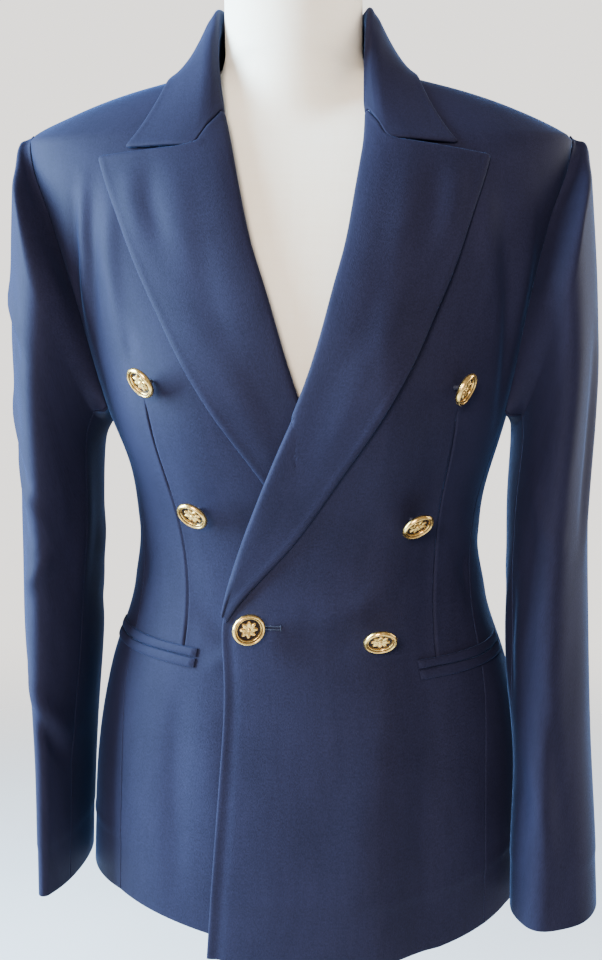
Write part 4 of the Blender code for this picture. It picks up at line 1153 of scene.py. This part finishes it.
def sleeve_part(node, side, ends, size):
    (first, last), (rows, columns), edge = ends, size, np.array(EDGE)
    length = SLEEVE[side][0][0] - SLEEVE[side][-1][0]
    turns = first + 0.0002 + (last - first - 0.0004) * spaced((last - first) * GIRTH, columns)[0]
    head = np.concatenate([edge / HEAD, np.linspace(edge[-1] / HEAD, 1, rows // 4)[1:-1]])
    tube = np.concatenate([np.linspace(0, 1 - edge[-1] / length, rows)[:-1], 1 - edge[::-1] / length])
    middle, after, before = (sleeve_surface(side, turns + by, head, tube) for by in (0, 0.003, -0.003))
    out = unit(np.cross(np.gradient(middle, axis=0), after - before))
    from_seam = np.concatenate([head * HEAD, np.ones(len(tube))])[:, None]
    rise = sleeve_rise(side, turns, middle[..., 2], from_seam)
    cloth(node, to_side(middle + out * rise[..., None], side), out * (side, 1, 1))


for name, side in SIDES:
    for part, ends, size in SLEEVE_PARTS:
        sleeve_part(f"{part}_sleeve_{name}", side, ends, size)

# %% [markdown]
# ## Pockets
# Each pocket is a slit between two welts, narrow strips of cloth folded double. They lie close on
# the front and side and are rounded like a lip, which goes flat at both ends.

# %% Pockets
# first angle and last angle of the welts, then the height of the slit at the first angle
POCKET = {1: (33.0, 79.0, 0.9800), -1: (29.5, 78.0, 0.9856)}
# distance of each welt's two long edges from the slit
WELTS = (("upper", 0.0004, 0.0070), ("lower", -0.0076, -0.0004))
WELT_WALL, WELT_THINNER, WELT_FULL = 0.0016, 0.0006, 0.0020      # its wall, less at the ends, and fullness
WELT_BODY = (-0.01, 0.035, 0.88, 1.02)      # shares of the way along between which it is full


def welt(node, side, low, high):
    """A strip along the slit, full in the middle and flat at both ends."""
    start, stop, slit = POCKET[side]
    share = spaced((stop - start) * DEGREE, 120)
    up = (0.5 - 0.5 * np.cos(np.pi * np.linspace(0, 1, 17)))[:, None]
    angle = start + (stop - start) * share
    z = slit + low + (high - low) * up + 0.004 * share
    z = z + 0.0004 * np.sin(share * 9.0 + low * 900) * (np.abs(up - (low < 0)) < 0.5)
    body = plateau(share, *WELT_BODY)
    full = WELT_FULL * np.sqrt(np.clip(1 - (2 * up - 1)**2, 0, 1)) * body
    wall = WELT_WALL - WELT_THINNER * (1 - body)
    under = LIFT[side](base(angle, z)[..., 0] - lean_at(z), z) + ease(side, angle, z) + CLOTH
    middle = to_side(coat(angle, z, under + 0.0001 + (wall + full) / 2), side)
    cloth(node, middle, normal(angle, z) * (side, 1, 1), wall=wall, edge=0.0005)


for name, side in SIDES:
    for label, low, high in WELTS:
        welt(f"pocket_{label}_welt_{name}", side, low, high)

# %% [markdown]
# ## Sewing
# The buttonhole in the front that laps over is worked in thread: two lips and a bar. Each is a
# short tube along a path on the cloth, with a small swelling for each stitch.


# %% Thread
def thread_finish():
    made = Finish("navy_thread", Sheen_Weight=0.14, Sheen_Roughness=0.3, Specular_IOR_Level=0.3)
    twist = made.noise(made.place(), 2600.0)
    colour = made.mix(made.between(twist, 0.3, 0.7), (0.0045, 0.0052, 0.0130), (0.0140, 0.0165, 0.0400))
    return made.surface(colour, made.between(twist, 0.3, 0.7, 0.5, 0.65), height=twist, depth=0.00010)


THREAD = thread_finish()
sewing = []


def stitched(name, path, radius, stitch=0.0007, sides=10):
    """A tube along a path on the cloth, swelling once for each stitch."""
    path = through(np.array(path), 90)
    ahead, steps = unit(np.gradient(path, axis=0)), travelled(path)
    first = unit(np.cross(ahead, (0.0, 1.0, 0.001)))
    second = np.cross(ahead, first)
    ends = np.clip(np.minimum(steps, steps[-1] - steps) / radius, 0.02, 1)
    thick = radius * np.sqrt(1 - (1 - ends)**2) * (1 + 0.16 * np.sin(math.tau * steps / stitch))
    turns = np.linspace(0, math.tau, sides + 1)[:, None]
    circle = first[:, None] * np.cos(turns) + second[:, None] * np.sin(turns)
    shape = bmesh.new()
    grid(shape, path[:, None] + thick[:, None, None] * circle)
    seal(shape)
    sewing.append(keep(shape, name, THREAD))


def on_left_front(across, z, out):
    """A place on the left front's outer face."""
    angle = angle_of(across, z)
    return coat(angle, z, over_lift(across, z) + ease(1, angle, z) + CLOTH + out)


print("made", THREAD.name)

# %% Buttonhole
HOLE_Z, HOLE_LIP = 1.0134, 0.0011      # its height, and the distance of each lip from its middle
HOLE_THREAD, BUTTON_THREAD = 0.00062, 0.0016      # radii
across = np.linspace(-0.0290, -0.0132, 9)
for label, up in (("upper", HOLE_LIP), ("lower", -HOLE_LIP)):
    stitched("buttonhole_" + label, on_left_front(across, HOLE_Z + up + across * 0, 0.0003), HOLE_THREAD)
heights = np.linspace(HOLE_Z - 0.0021, HOLE_Z + 0.0021, 7)
stitched("buttonhole_bar", on_left_front(heights * 0 - 0.0128, heights, 0.0004), HOLE_THREAD)
print("sewn pieces:", [piece.name for piece in sewing])

# %% [markdown]
# ## Buttons
# The buttons are cast metal: a broad rounded rim, a thin bright ring inside it, a sunk ground
# darkened by patina, and a flower in relief. The flower is a plain eight-petalled rosette. A profile
# spun about its axis gives the button, and the petals are raised afterwards by a small rule: how far
# a point is from the middle line of its nearest petal. The same rule darkens the point: patina on
# the low ground, and painted shade along the petals' low edges. A painted shadow also darkens the
# groove inside the rim.

# %% Tables of the buttons
# name, side, distance from the centre, height, stand-off of the back from the cloth, the way it faces
BUTTONS = (
    ("top_left", 1, 0.1111, 1.1916, 0.0103, (0.830, -0.395, -0.395)),
    ("middle_left", 1, 0.0784, 1.0970, 0.0104, (0.440, -0.610, -0.660)),
    ("low_left", 1, 0.0548, 1.0067, 0.0113, (0.130, -0.770, -0.630)),
    ("top_right", -1, 0.1030, 1.1942, 0.0103, (-0.570, -0.620, -0.520)),
    ("middle_right", -1, 0.0737, 1.1004, 0.0092, (-0.360, -0.700, -0.610)),
    ("low_right", -1, 0.0343, 1.0134, 0.0086, (0.35, -0.92, -0.18)),
)
# rows of (radius, height) from the back's middle over the rim to the sunk ground
BUTTON_PROFILE = (
    (0.0, -0.0002), (0.0040, -0.0002), (0.0085, 0.0), (0.0106, 0.0004), (0.0118, 0.0012),
    (0.0124, 0.0023), (0.01235, 0.0033), (0.0119, 0.0042), (0.0112, 0.0047), (0.0105, 0.0046),
    (0.0101, 0.0040), (0.0099, 0.0032), (0.00975, 0.0030), (0.0095, 0.0034), (0.0092, 0.0036),
    (0.0089, 0.0034), (0.0087, 0.0026), (0.0084, 0.0019), (0.0076, 0.0019),
)
GROUND = 0.0019           # height of the sunk ground
FACE_RADIUS = 0.0076
PETALS, PETAL_START, PETAL_LENGTH = 8, 0.0014, 0.0056
BUTTON_STEPS, STAND_STEPS = 72, 96      # steps of a spun profile
print("buttons:", [row[0] for row in BUTTONS])


# %% Button metal
def metal_finish():
    """Pale gold, darkened by patina on the sunk ground and by painted shade in the relief's low places."""
    made = Finish("gold_metal", IOR=1.5, Specular_IOR_Level=0.15)
    # patina on the sunk ground, and painted shade at the petals' low edges and in the groove inside the rim
    patina_and_shade = made.node("ShaderNodeAttribute", out=2, attribute_name="patina_and_shade")
    place = made.place()
    worn, fine = made.noise(place, 420.0, 3.0, 0.6), made.noise(place, 2400.0)
    gold = made.mix(made.between(worn, 0.3, 0.7), (0.74, 0.41, 0.100), (0.93, 0.62, 0.20))
    colour = made.mix(patina_and_shade, gold, (0.012, 0.006, 0.004))
    rough = made.between(worn, 0.3, 0.75, 0.20, 0.34) + patina_and_shade * 0.25
    return made.surface(colour, rough, 1.0 - patina_and_shade, height=fine * 0.6 + worn * 0.4, depth=0.000018)


GOLD = metal_finish()
print("made", GOLD.name)


# %% The rosette and the button
def rosette(radius, turn):
    """Height above the ground of eight petals round a small dome."""
    width = math.tau / PETALS
    off = ((turn / width + 0.5) % 1.0 - 0.5) * width * radius
    share = np.clip((radius - PETAL_START) / PETAL_LENGTH, 0, 1)
    wide = 0.0021 * np.sin(np.pi * share**0.85)**0.8 + 1e-6
    petal = np.sqrt(np.clip(1 - (off / wide)**2, 0, 1)) * (0.0012 + 0.0006 * share) * (share < 1)
    petal = petal - 0.00025 * bell(off, 0, 0.00022) * (petal > 0)
    return np.maximum(petal, np.sqrt(np.clip(1 - (radius / 0.0017)**2, 0, 1)) * 0.0021)


def spun(rows, steps, rounding=0.0):
    """A profile of radii and heights, its corners rounded, spun about the upright axis."""
    shape = bmesh.new()
    verts = [shape.verts.new((radius, 0.0, height)) for radius, height in rows]
    for pair in zip(verts, verts[1:]):
        shape.edges.new(pair)
    if rounding:
        bmesh.ops.bevel(shape, geom=verts[1:-1], offset=rounding, offset_type="OFFSET", affect="VERTICES",
                        segments=4, profile=0.5, material=-1)
    bmesh.ops.spin(shape, geom=shape.verts[:] + shape.edges[:], axis=(0, 0, 1), cent=(0, 0, 0),
                   angle=math.tau, steps=steps, use_merge=True)
    bmesh.ops.remove_doubles(shape, verts=shape.verts, dist=1e-6)
    return shape


def button(name, place, facing):
    """A button at a place; an attribute darkens the sunk ground as patina, and paints shade at the petals' low
    edges and in the groove inside the rim.
    """
    rings = np.append(np.linspace(FACE_RADIUS, 0.0004, 27)[1:], 0.0)
    rows = [*through(np.array(BUTTON_PROFILE), 62), *((radius, GROUND) for radius in rings)]
    shape = spun(rows, BUTTON_STEPS)
    x, y, z = np.array([vert.co for vert in shape.verts]).T
    radius = np.hypot(x, y)
    on_face = (z > 0.0015) & (radius < 0.0086)
    rise = rosette(radius, np.arctan2(y, x)) * (on_face & (radius < FACE_RADIUS))
    for vert, up in zip(shape.verts, rise):
        vert.co.z += up
    # patina on the sunk ground and painted shade on the petals' low edges; a painted shadow in the groove
    # inside the rim
    patina_and_shade = np.where(on_face, 1 - smooth(0.0004, 0.0012, rise), bell(radius, 0.0099, 0.00036) * (z > 0.0025))
    made = keep(shape, "metal_button_" + name, GOLD)
    made.data.attributes.new("patina_and_shade", "FLOAT", "POINT").data.foreach_set("value", patina_and_shade.astype(np.float32))
    right = Vector((0, 0, 1)).cross(facing).normalized()
    turn = Matrix((right, facing.cross(right), facing)).transposed()
    made.data.transform(Matrix.Translation(place) @ turn.to_4x4())
    take_place("button_" + name, made)


for name, side, across, z, off, facing in BUTTONS:
    facing, angle = Vector(facing).normalized(), angle_of(across, z)
    under = over_lift(side * across, z) if side > 0 or name == "low_right" else 0.0
    place = Vector(to_side(coat(angle, z, under + CLOTH + off), side))
    foot = place - Vector(normal(angle, z) * (side, 1, 1)) * (off - 0.0006)
    back = place - facing * 0.0001
    button(name, place, facing)
    path = [foot, foot.lerp(back, 0.35), foot.lerp(back, 0.7), back]
    stitched("button_thread_" + name, path, BUTTON_THREAD, stitch=0.0010, sides=14)

# %% [markdown]
# ## The dress form
# The form is a hollow body covered with cream linen. Its rings are the coat's sections, a little
# smaller, and above the shoulders they join softly to a round neck. The linen is a plain weave: a
# thread over, a thread under, in two directions, raised from the form's own flat places.


# %% Linen
WEAVE = 6400.0            # radians for each metre, so two threads to the millimetre


def linen_finish():
    made = Finish("cream_linen", Sheen_Weight=0.25, Sheen_Roughness=0.5, Specular_IOR_Level=0.25,
                  Sheen_Tint=(1.0, 0.96, 0.9, 1.0))
    flat = made.flat()
    warp, weft = ((made.node("ShaderNodeSeparateXYZ", {0: flat}, out=i) * WEAVE).wave() for i in (0, 1))
    thick = (made.noise(flat, 260.0, stretch=(1.0, 0.1, 1.0))
             + made.noise(flat, 260.0, stretch=(0.1, 1.0, 1.0)))
    fuzz, cloud = made.noise(flat, 1800.0), made.noise(flat, 9.0, 3.0)
    weave = warp * weft * 0.25 + thick * 0.4 + fuzz * 0.35
    tone = made.between(weave, 0.2, 0.95) * 0.7 + made.between(cloud, 0.3, 0.7) * 0.3
    colour = made.mix(tone, (0.93, 0.79, 0.60), (0.985, 0.89, 0.725))
    return made.surface(colour, made.between(fuzz, 0.2, 0.8, 0.82, 0.92), height=weave, depth=0.00022)


LINEN = linen_finish()
print("made", LINEN.name)

# %% The form's rings
FORM_ROUND = 200          # columns of the form's grid
FORM_LOW, FORM_TOP = 0.830, 1.505
FORM_SHRINK = 0.0075      # how far the form lies inside the coat
NECK_RADIUS = 0.0545
NECK_BLEND = 0.0120       # width of the soft join between shoulders and neck


def form_ring(level):
    """The form's outline at a height: the coat's section, shrunk, then joined softly to a round neck."""
    turns, z = np.linspace(0, math.tau, FORM_ROUND + 1), min(level, NECK_HIGH)
    n, (front, back, middle) = square_at(z), depth_at(z)
    edge = min((level - FORM_LOW) / 0.010, 1.0)
    shrink = FORM_SHRINK + 0.012 * (1 - math.sqrt(1 - (1 - edge)**2))
    wide = float(half_width(z)) - shrink
    deep = np.where(np.cos(turns) > 0, front, back) - shrink
    polar = np.unwrap(np.arctan2(wide * np.sin(turns), deep * np.cos(turns)))
    reach = ((np.abs(np.sin(polar)) / wide)**n + (np.abs(np.cos(polar)) / deep)**n)**(-1 / n)
    join = float(smooth(1.430, 1.447, level))
    if level > 1.34:
        neck = NECK_RADIUS * (0.75 + 0.25 * float(smooth(1.33, 1.42, level)))
        fade = float(smooth(1.428, 1.450, level))
        reach = np.where(fade > 0, np.minimum(reach * (1 - fade) + neck * fade, neck + 0.004), reach)
        near = np.maximum(NECK_BLEND - np.abs(reach - neck), 0)
        reach = np.maximum(reach, neck) + near**2 / (4 * NECK_BLEND)
        reach, polar = reach * (1 - join) + NECK_RADIUS * join, polar * (1 - join) + turns * join
    x, y = reach * np.sin(polar), middle - reach * np.cos(polar)
    y = y - bust(x, level) * np.clip(2 * np.cos(turns), 0, 1) * (1 - smooth(1.28, 1.30, level))
    return np.stack([x + lean_at(level), y, np.full(FORM_ROUND + 1, level)], -1)


print("the form's neck is", round(NECK_RADIUS * 2000), "mm across")


# %% The dress form
def dress_form():
    """Rings set one above another, with the flat place of each corner in metres."""
    levels = np.concatenate([FORM_LOW + 0.010 * (1 - np.cos(np.linspace(0, np.pi / 2, 8)))[:-1],
                             np.linspace(0.840, 1.34, 84)[:-1], np.linspace(1.34, FORM_TOP, 62)])
    shape = bmesh.new()
    grid(shape, np.array([form_ring(level) for level in levels]))
    flat = [(around, level) for level in levels for around in np.linspace(0, math.tau * 0.13, FORM_ROUND + 1)]
    shape.verts.index_update()
    flat_map = shape.loops.layers.uv.new("cloth")
    for face in shape.faces:
        for corner in face.loops:
            corner[flat_map].uv = flat[corner.vert.index]
    seal(shape)
    made = keep(shape, "linen_form", LINEN)
    made.data.set_sharp_from_angle(angle=math.radians(50))
    take_place("form_body", made)


dress_form()

# %% [markdown]
# ## Neck cap, pole and base
# The form stands on a pole in a round base, and a turned cap closes its neck. All three are white
# painted metal, and each is a profile spun about the upright axis, with its corners rounded.


# %% White paint
def paint_finish():
    made = Finish("white_metal", IOR=1.5, Coat_Weight=0.25, Coat_Roughness=0.25)
    place = made.place()
    peel, cloud = made.noise(place, 700.0), made.noise(place, 18.0, 3.0)
    colour = made.mix(made.between(cloud, 0.3, 0.7), (0.76, 0.755, 0.74), (0.82, 0.815, 0.80))
    return made.surface(colour, made.between(cloud, 0.3, 0.7, 0.34, 0.46), height=peel, depth=0.00005)


PAINT = paint_finish()
print("made", PAINT.name)

# %% Cap, pole and base
# node, place of its underside, rows of (radius, height) above it
STAND = (
    ("neck_cap", (float(lean_at(1.51)), 0.012, 1.5053), (
        (0.0, 0.0), (0.0560, 0.0), (0.0585, 0.0015), (0.0585, 0.0055), (0.0545, 0.0085),
        (0.0400, 0.0115), (0.0150, 0.0130), (0.0, 0.0132))),
    ("pole", (0.0, 0.0, 0.0223), (
        (0.0, 0.0), (0.0125, 0.0), (0.0125, 0.7994), (0.0220, 0.7997), (0.0220, 0.8073), (0.0, 0.8073))),
    ("base", (0.0, 0.0, 0.0), (
        (0.0, 0.0), (0.1560, 0.0), (0.1600, 0.0030), (0.1600, 0.0080), (0.1520, 0.0120),
        (0.0500, 0.0180), (0.0320, 0.0220), (0.0, 0.0220))),
)
for node, place, profile in STAND:
    made = keep(spun(profile, STAND_STEPS, rounding=0.0008), "painted_" + node, PAINT)
    made.data.set_sharp_from_angle(angle=math.radians(35))
    made.data.transform(Matrix.Translation(place))
    take_place(node, made)

# %% [markdown]
# ## Tying the pieces to the frame
# Every piece rides on the one body and takes its solid's place. For each piece of cloth the area
# it measures is printed beside the size it was cut to, as a share of its rectangle where the cut
# isn't one.

# %% Riding and replacing
for node, piece in pieces.items():
    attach(piece, "root")
    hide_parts(node)
for piece in sewing:
    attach(piece, "root")
print("pieces:", len(pieces) + len(sewing))

# %% Cuts
# piece's node: width and length of the rectangle it is cut from, share of it that the cut fills,
# what it rests on
CUTS = {
    "front_left": (0.30, 0.70, 0.75, ["form_body", "front_right"]),
    "front_right": (0.28, 0.70, 0.75, ["form_body"]),
    "side_left": (0.17, 0.39, 0.85, ["front_left"]),
    "side_right": (0.17, 0.39, 0.85, ["front_right"]),
    "back_left": (0.22, 0.68, 0.80, ["form_body"]),
    "back_right": (0.22, 0.68, 0.80, ["form_body"]),
    "lapel_left": (0.12, 0.44, 0.55, ["front_left"]),
    "lapel_right": (0.12, 0.44, 0.55, ["front_right"]),
    "collar": (0.10, 0.52, 0.75, ["back_left", "back_right"]),
    "upper_sleeve_left": (0.21, 0.61, 0.85, ["front_left"]),
    "upper_sleeve_right": (0.21, 0.61, 0.85, ["front_right"]),
    "under_sleeve_left": (0.13, 0.52, 0.85, ["side_left"]),
    "under_sleeve_right": (0.13, 0.52, 0.85, ["side_right"]),
}
WITH = {name: [pieces[f"pocket_{label}_welt_{name}"] for label, *_ in WELTS] for name, _ in SIDES}
print("cuts:", list(CUTS))

# %% Measuring the sheets
for node, (width, length, share, rests_on) in CUTS.items():
    extra = WITH[node[6:]] if node.startswith("front_") else []
    extra = extra + [piece for piece in sewing if node == "front_left" and "buttonhole" in piece.name]
    measured = sum(face.area for face in pieces[node].data.polygons) / 2
    print(node, "measures", round(measured, 4), "and is cut", round(width * length * share, 4))

# %% [markdown]
# ## Floor and light
# The scene is plain: a pale floor, a pale surround and soft light. A large window to the viewer's
# left gives cool light that rakes over the cloth, a weaker one on the right opens the shadows,
# and a soft one near the camera keeps the middle readable. The floor fades into the surround.


# %% Floor
def floor_finish():
    made = Finish("pale_floor", Roughness=0.9, Specular_IOR_Level=0.2)
    place = made.place()
    cloud = made.noise(place, 2.0, 3.0)
    colour = made.mix(made.between(cloud, 0.3, 0.7), (0.70, 0.685, 0.66), (0.74, 0.725, 0.70))
    distance = made.node("ShaderNodeVectorMath", {0: place}, out=1, operation="LENGTH")
    made.put(made.shader.inputs["Alpha"], made.between(distance, 1.2, 3.6, 1.0, 0.0))
    return made.surface(colour)


shape = bmesh.new()
bmesh.ops.create_circle(shape, cap_ends=True, segments=96, radius=4.0)
for vert in shape.verts:
    vert.co.z = -0.0004
floor = keep(shape, "floor", floor_finish(), recalculate=False)
floor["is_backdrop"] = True
print("floor of", len(floor.data.polygons), "faces")


# %% Lights and surround
def window(name, place, height, size, power, colour):
    """A soft rectangle of light that looks at the middle at a height."""
    lamp = bpy.data.lights.new(name, "AREA")
    lamp.shape, lamp.size, lamp.size_y = "RECTANGLE", *size
    lamp.energy, lamp.color = power, colour
    made = bpy.data.objects.new(name, lamp)
    bpy.context.scene.collection.objects.link(made)
    made.location = place
    made.rotation_euler = (Vector((0.0, 0.0, height)) - Vector(place)).to_track_quat("-Z", "Y").to_euler()


window("window_left", (-2.0, -0.26, 1.65), 1.10, (1.0, 2.0), 620.0, (0.48, 0.73, 1.0))
window("window_right", (1.8, 0.8, 1.6), 1.15, (1.0, 1.8), 72.0, (1.0, 0.98, 0.96))
window("fill", (-0.45, -2.4, 2.0), 1.05, (0.8, 0.8), 96.0, (1.0, 0.91, 0.85))
surround = bpy.data.worlds.new("surround")
surround.use_nodes = True
nodes, links = surround.node_tree.nodes, surround.node_tree.links
seen, lighting = nodes["Background"], nodes.new("ShaderNodeBackground")
for light, colour, strength in ((seen, (0.95, 0.91, 0.86, 1.0), 2.1),
                                (lighting, (0.95, 0.93, 1.0, 1.0), 0.50)):
    light.inputs["Color"].default_value, light.inputs["Strength"].default_value = colour, strength
path, either = nodes.new("ShaderNodeLightPath"), nodes.new("ShaderNodeMixShader")
links.new(path.outputs["Is Camera Ray"], either.inputs[0])
links.new(lighting.outputs[0], either.inputs[1])
links.new(seen.outputs[0], either.inputs[2])
links.new(either.outputs[0], nodes["World Output"].inputs["Surface"])
bpy.context.scene.world = surround

# %% [markdown]
# ## Checking the size
# The finished pieces have to stay within the frame's box, give or take what soft cloth may stand
# proud. How far the finished box grew past the frame's box is printed.

# %% Size and finish
shown_box = [list(corner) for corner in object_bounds()]
grown = (np.array(shown_box) - np.array(cad_box)) * 1000
print("box grew by", np.round(grown, 1).tolist(), "mm")
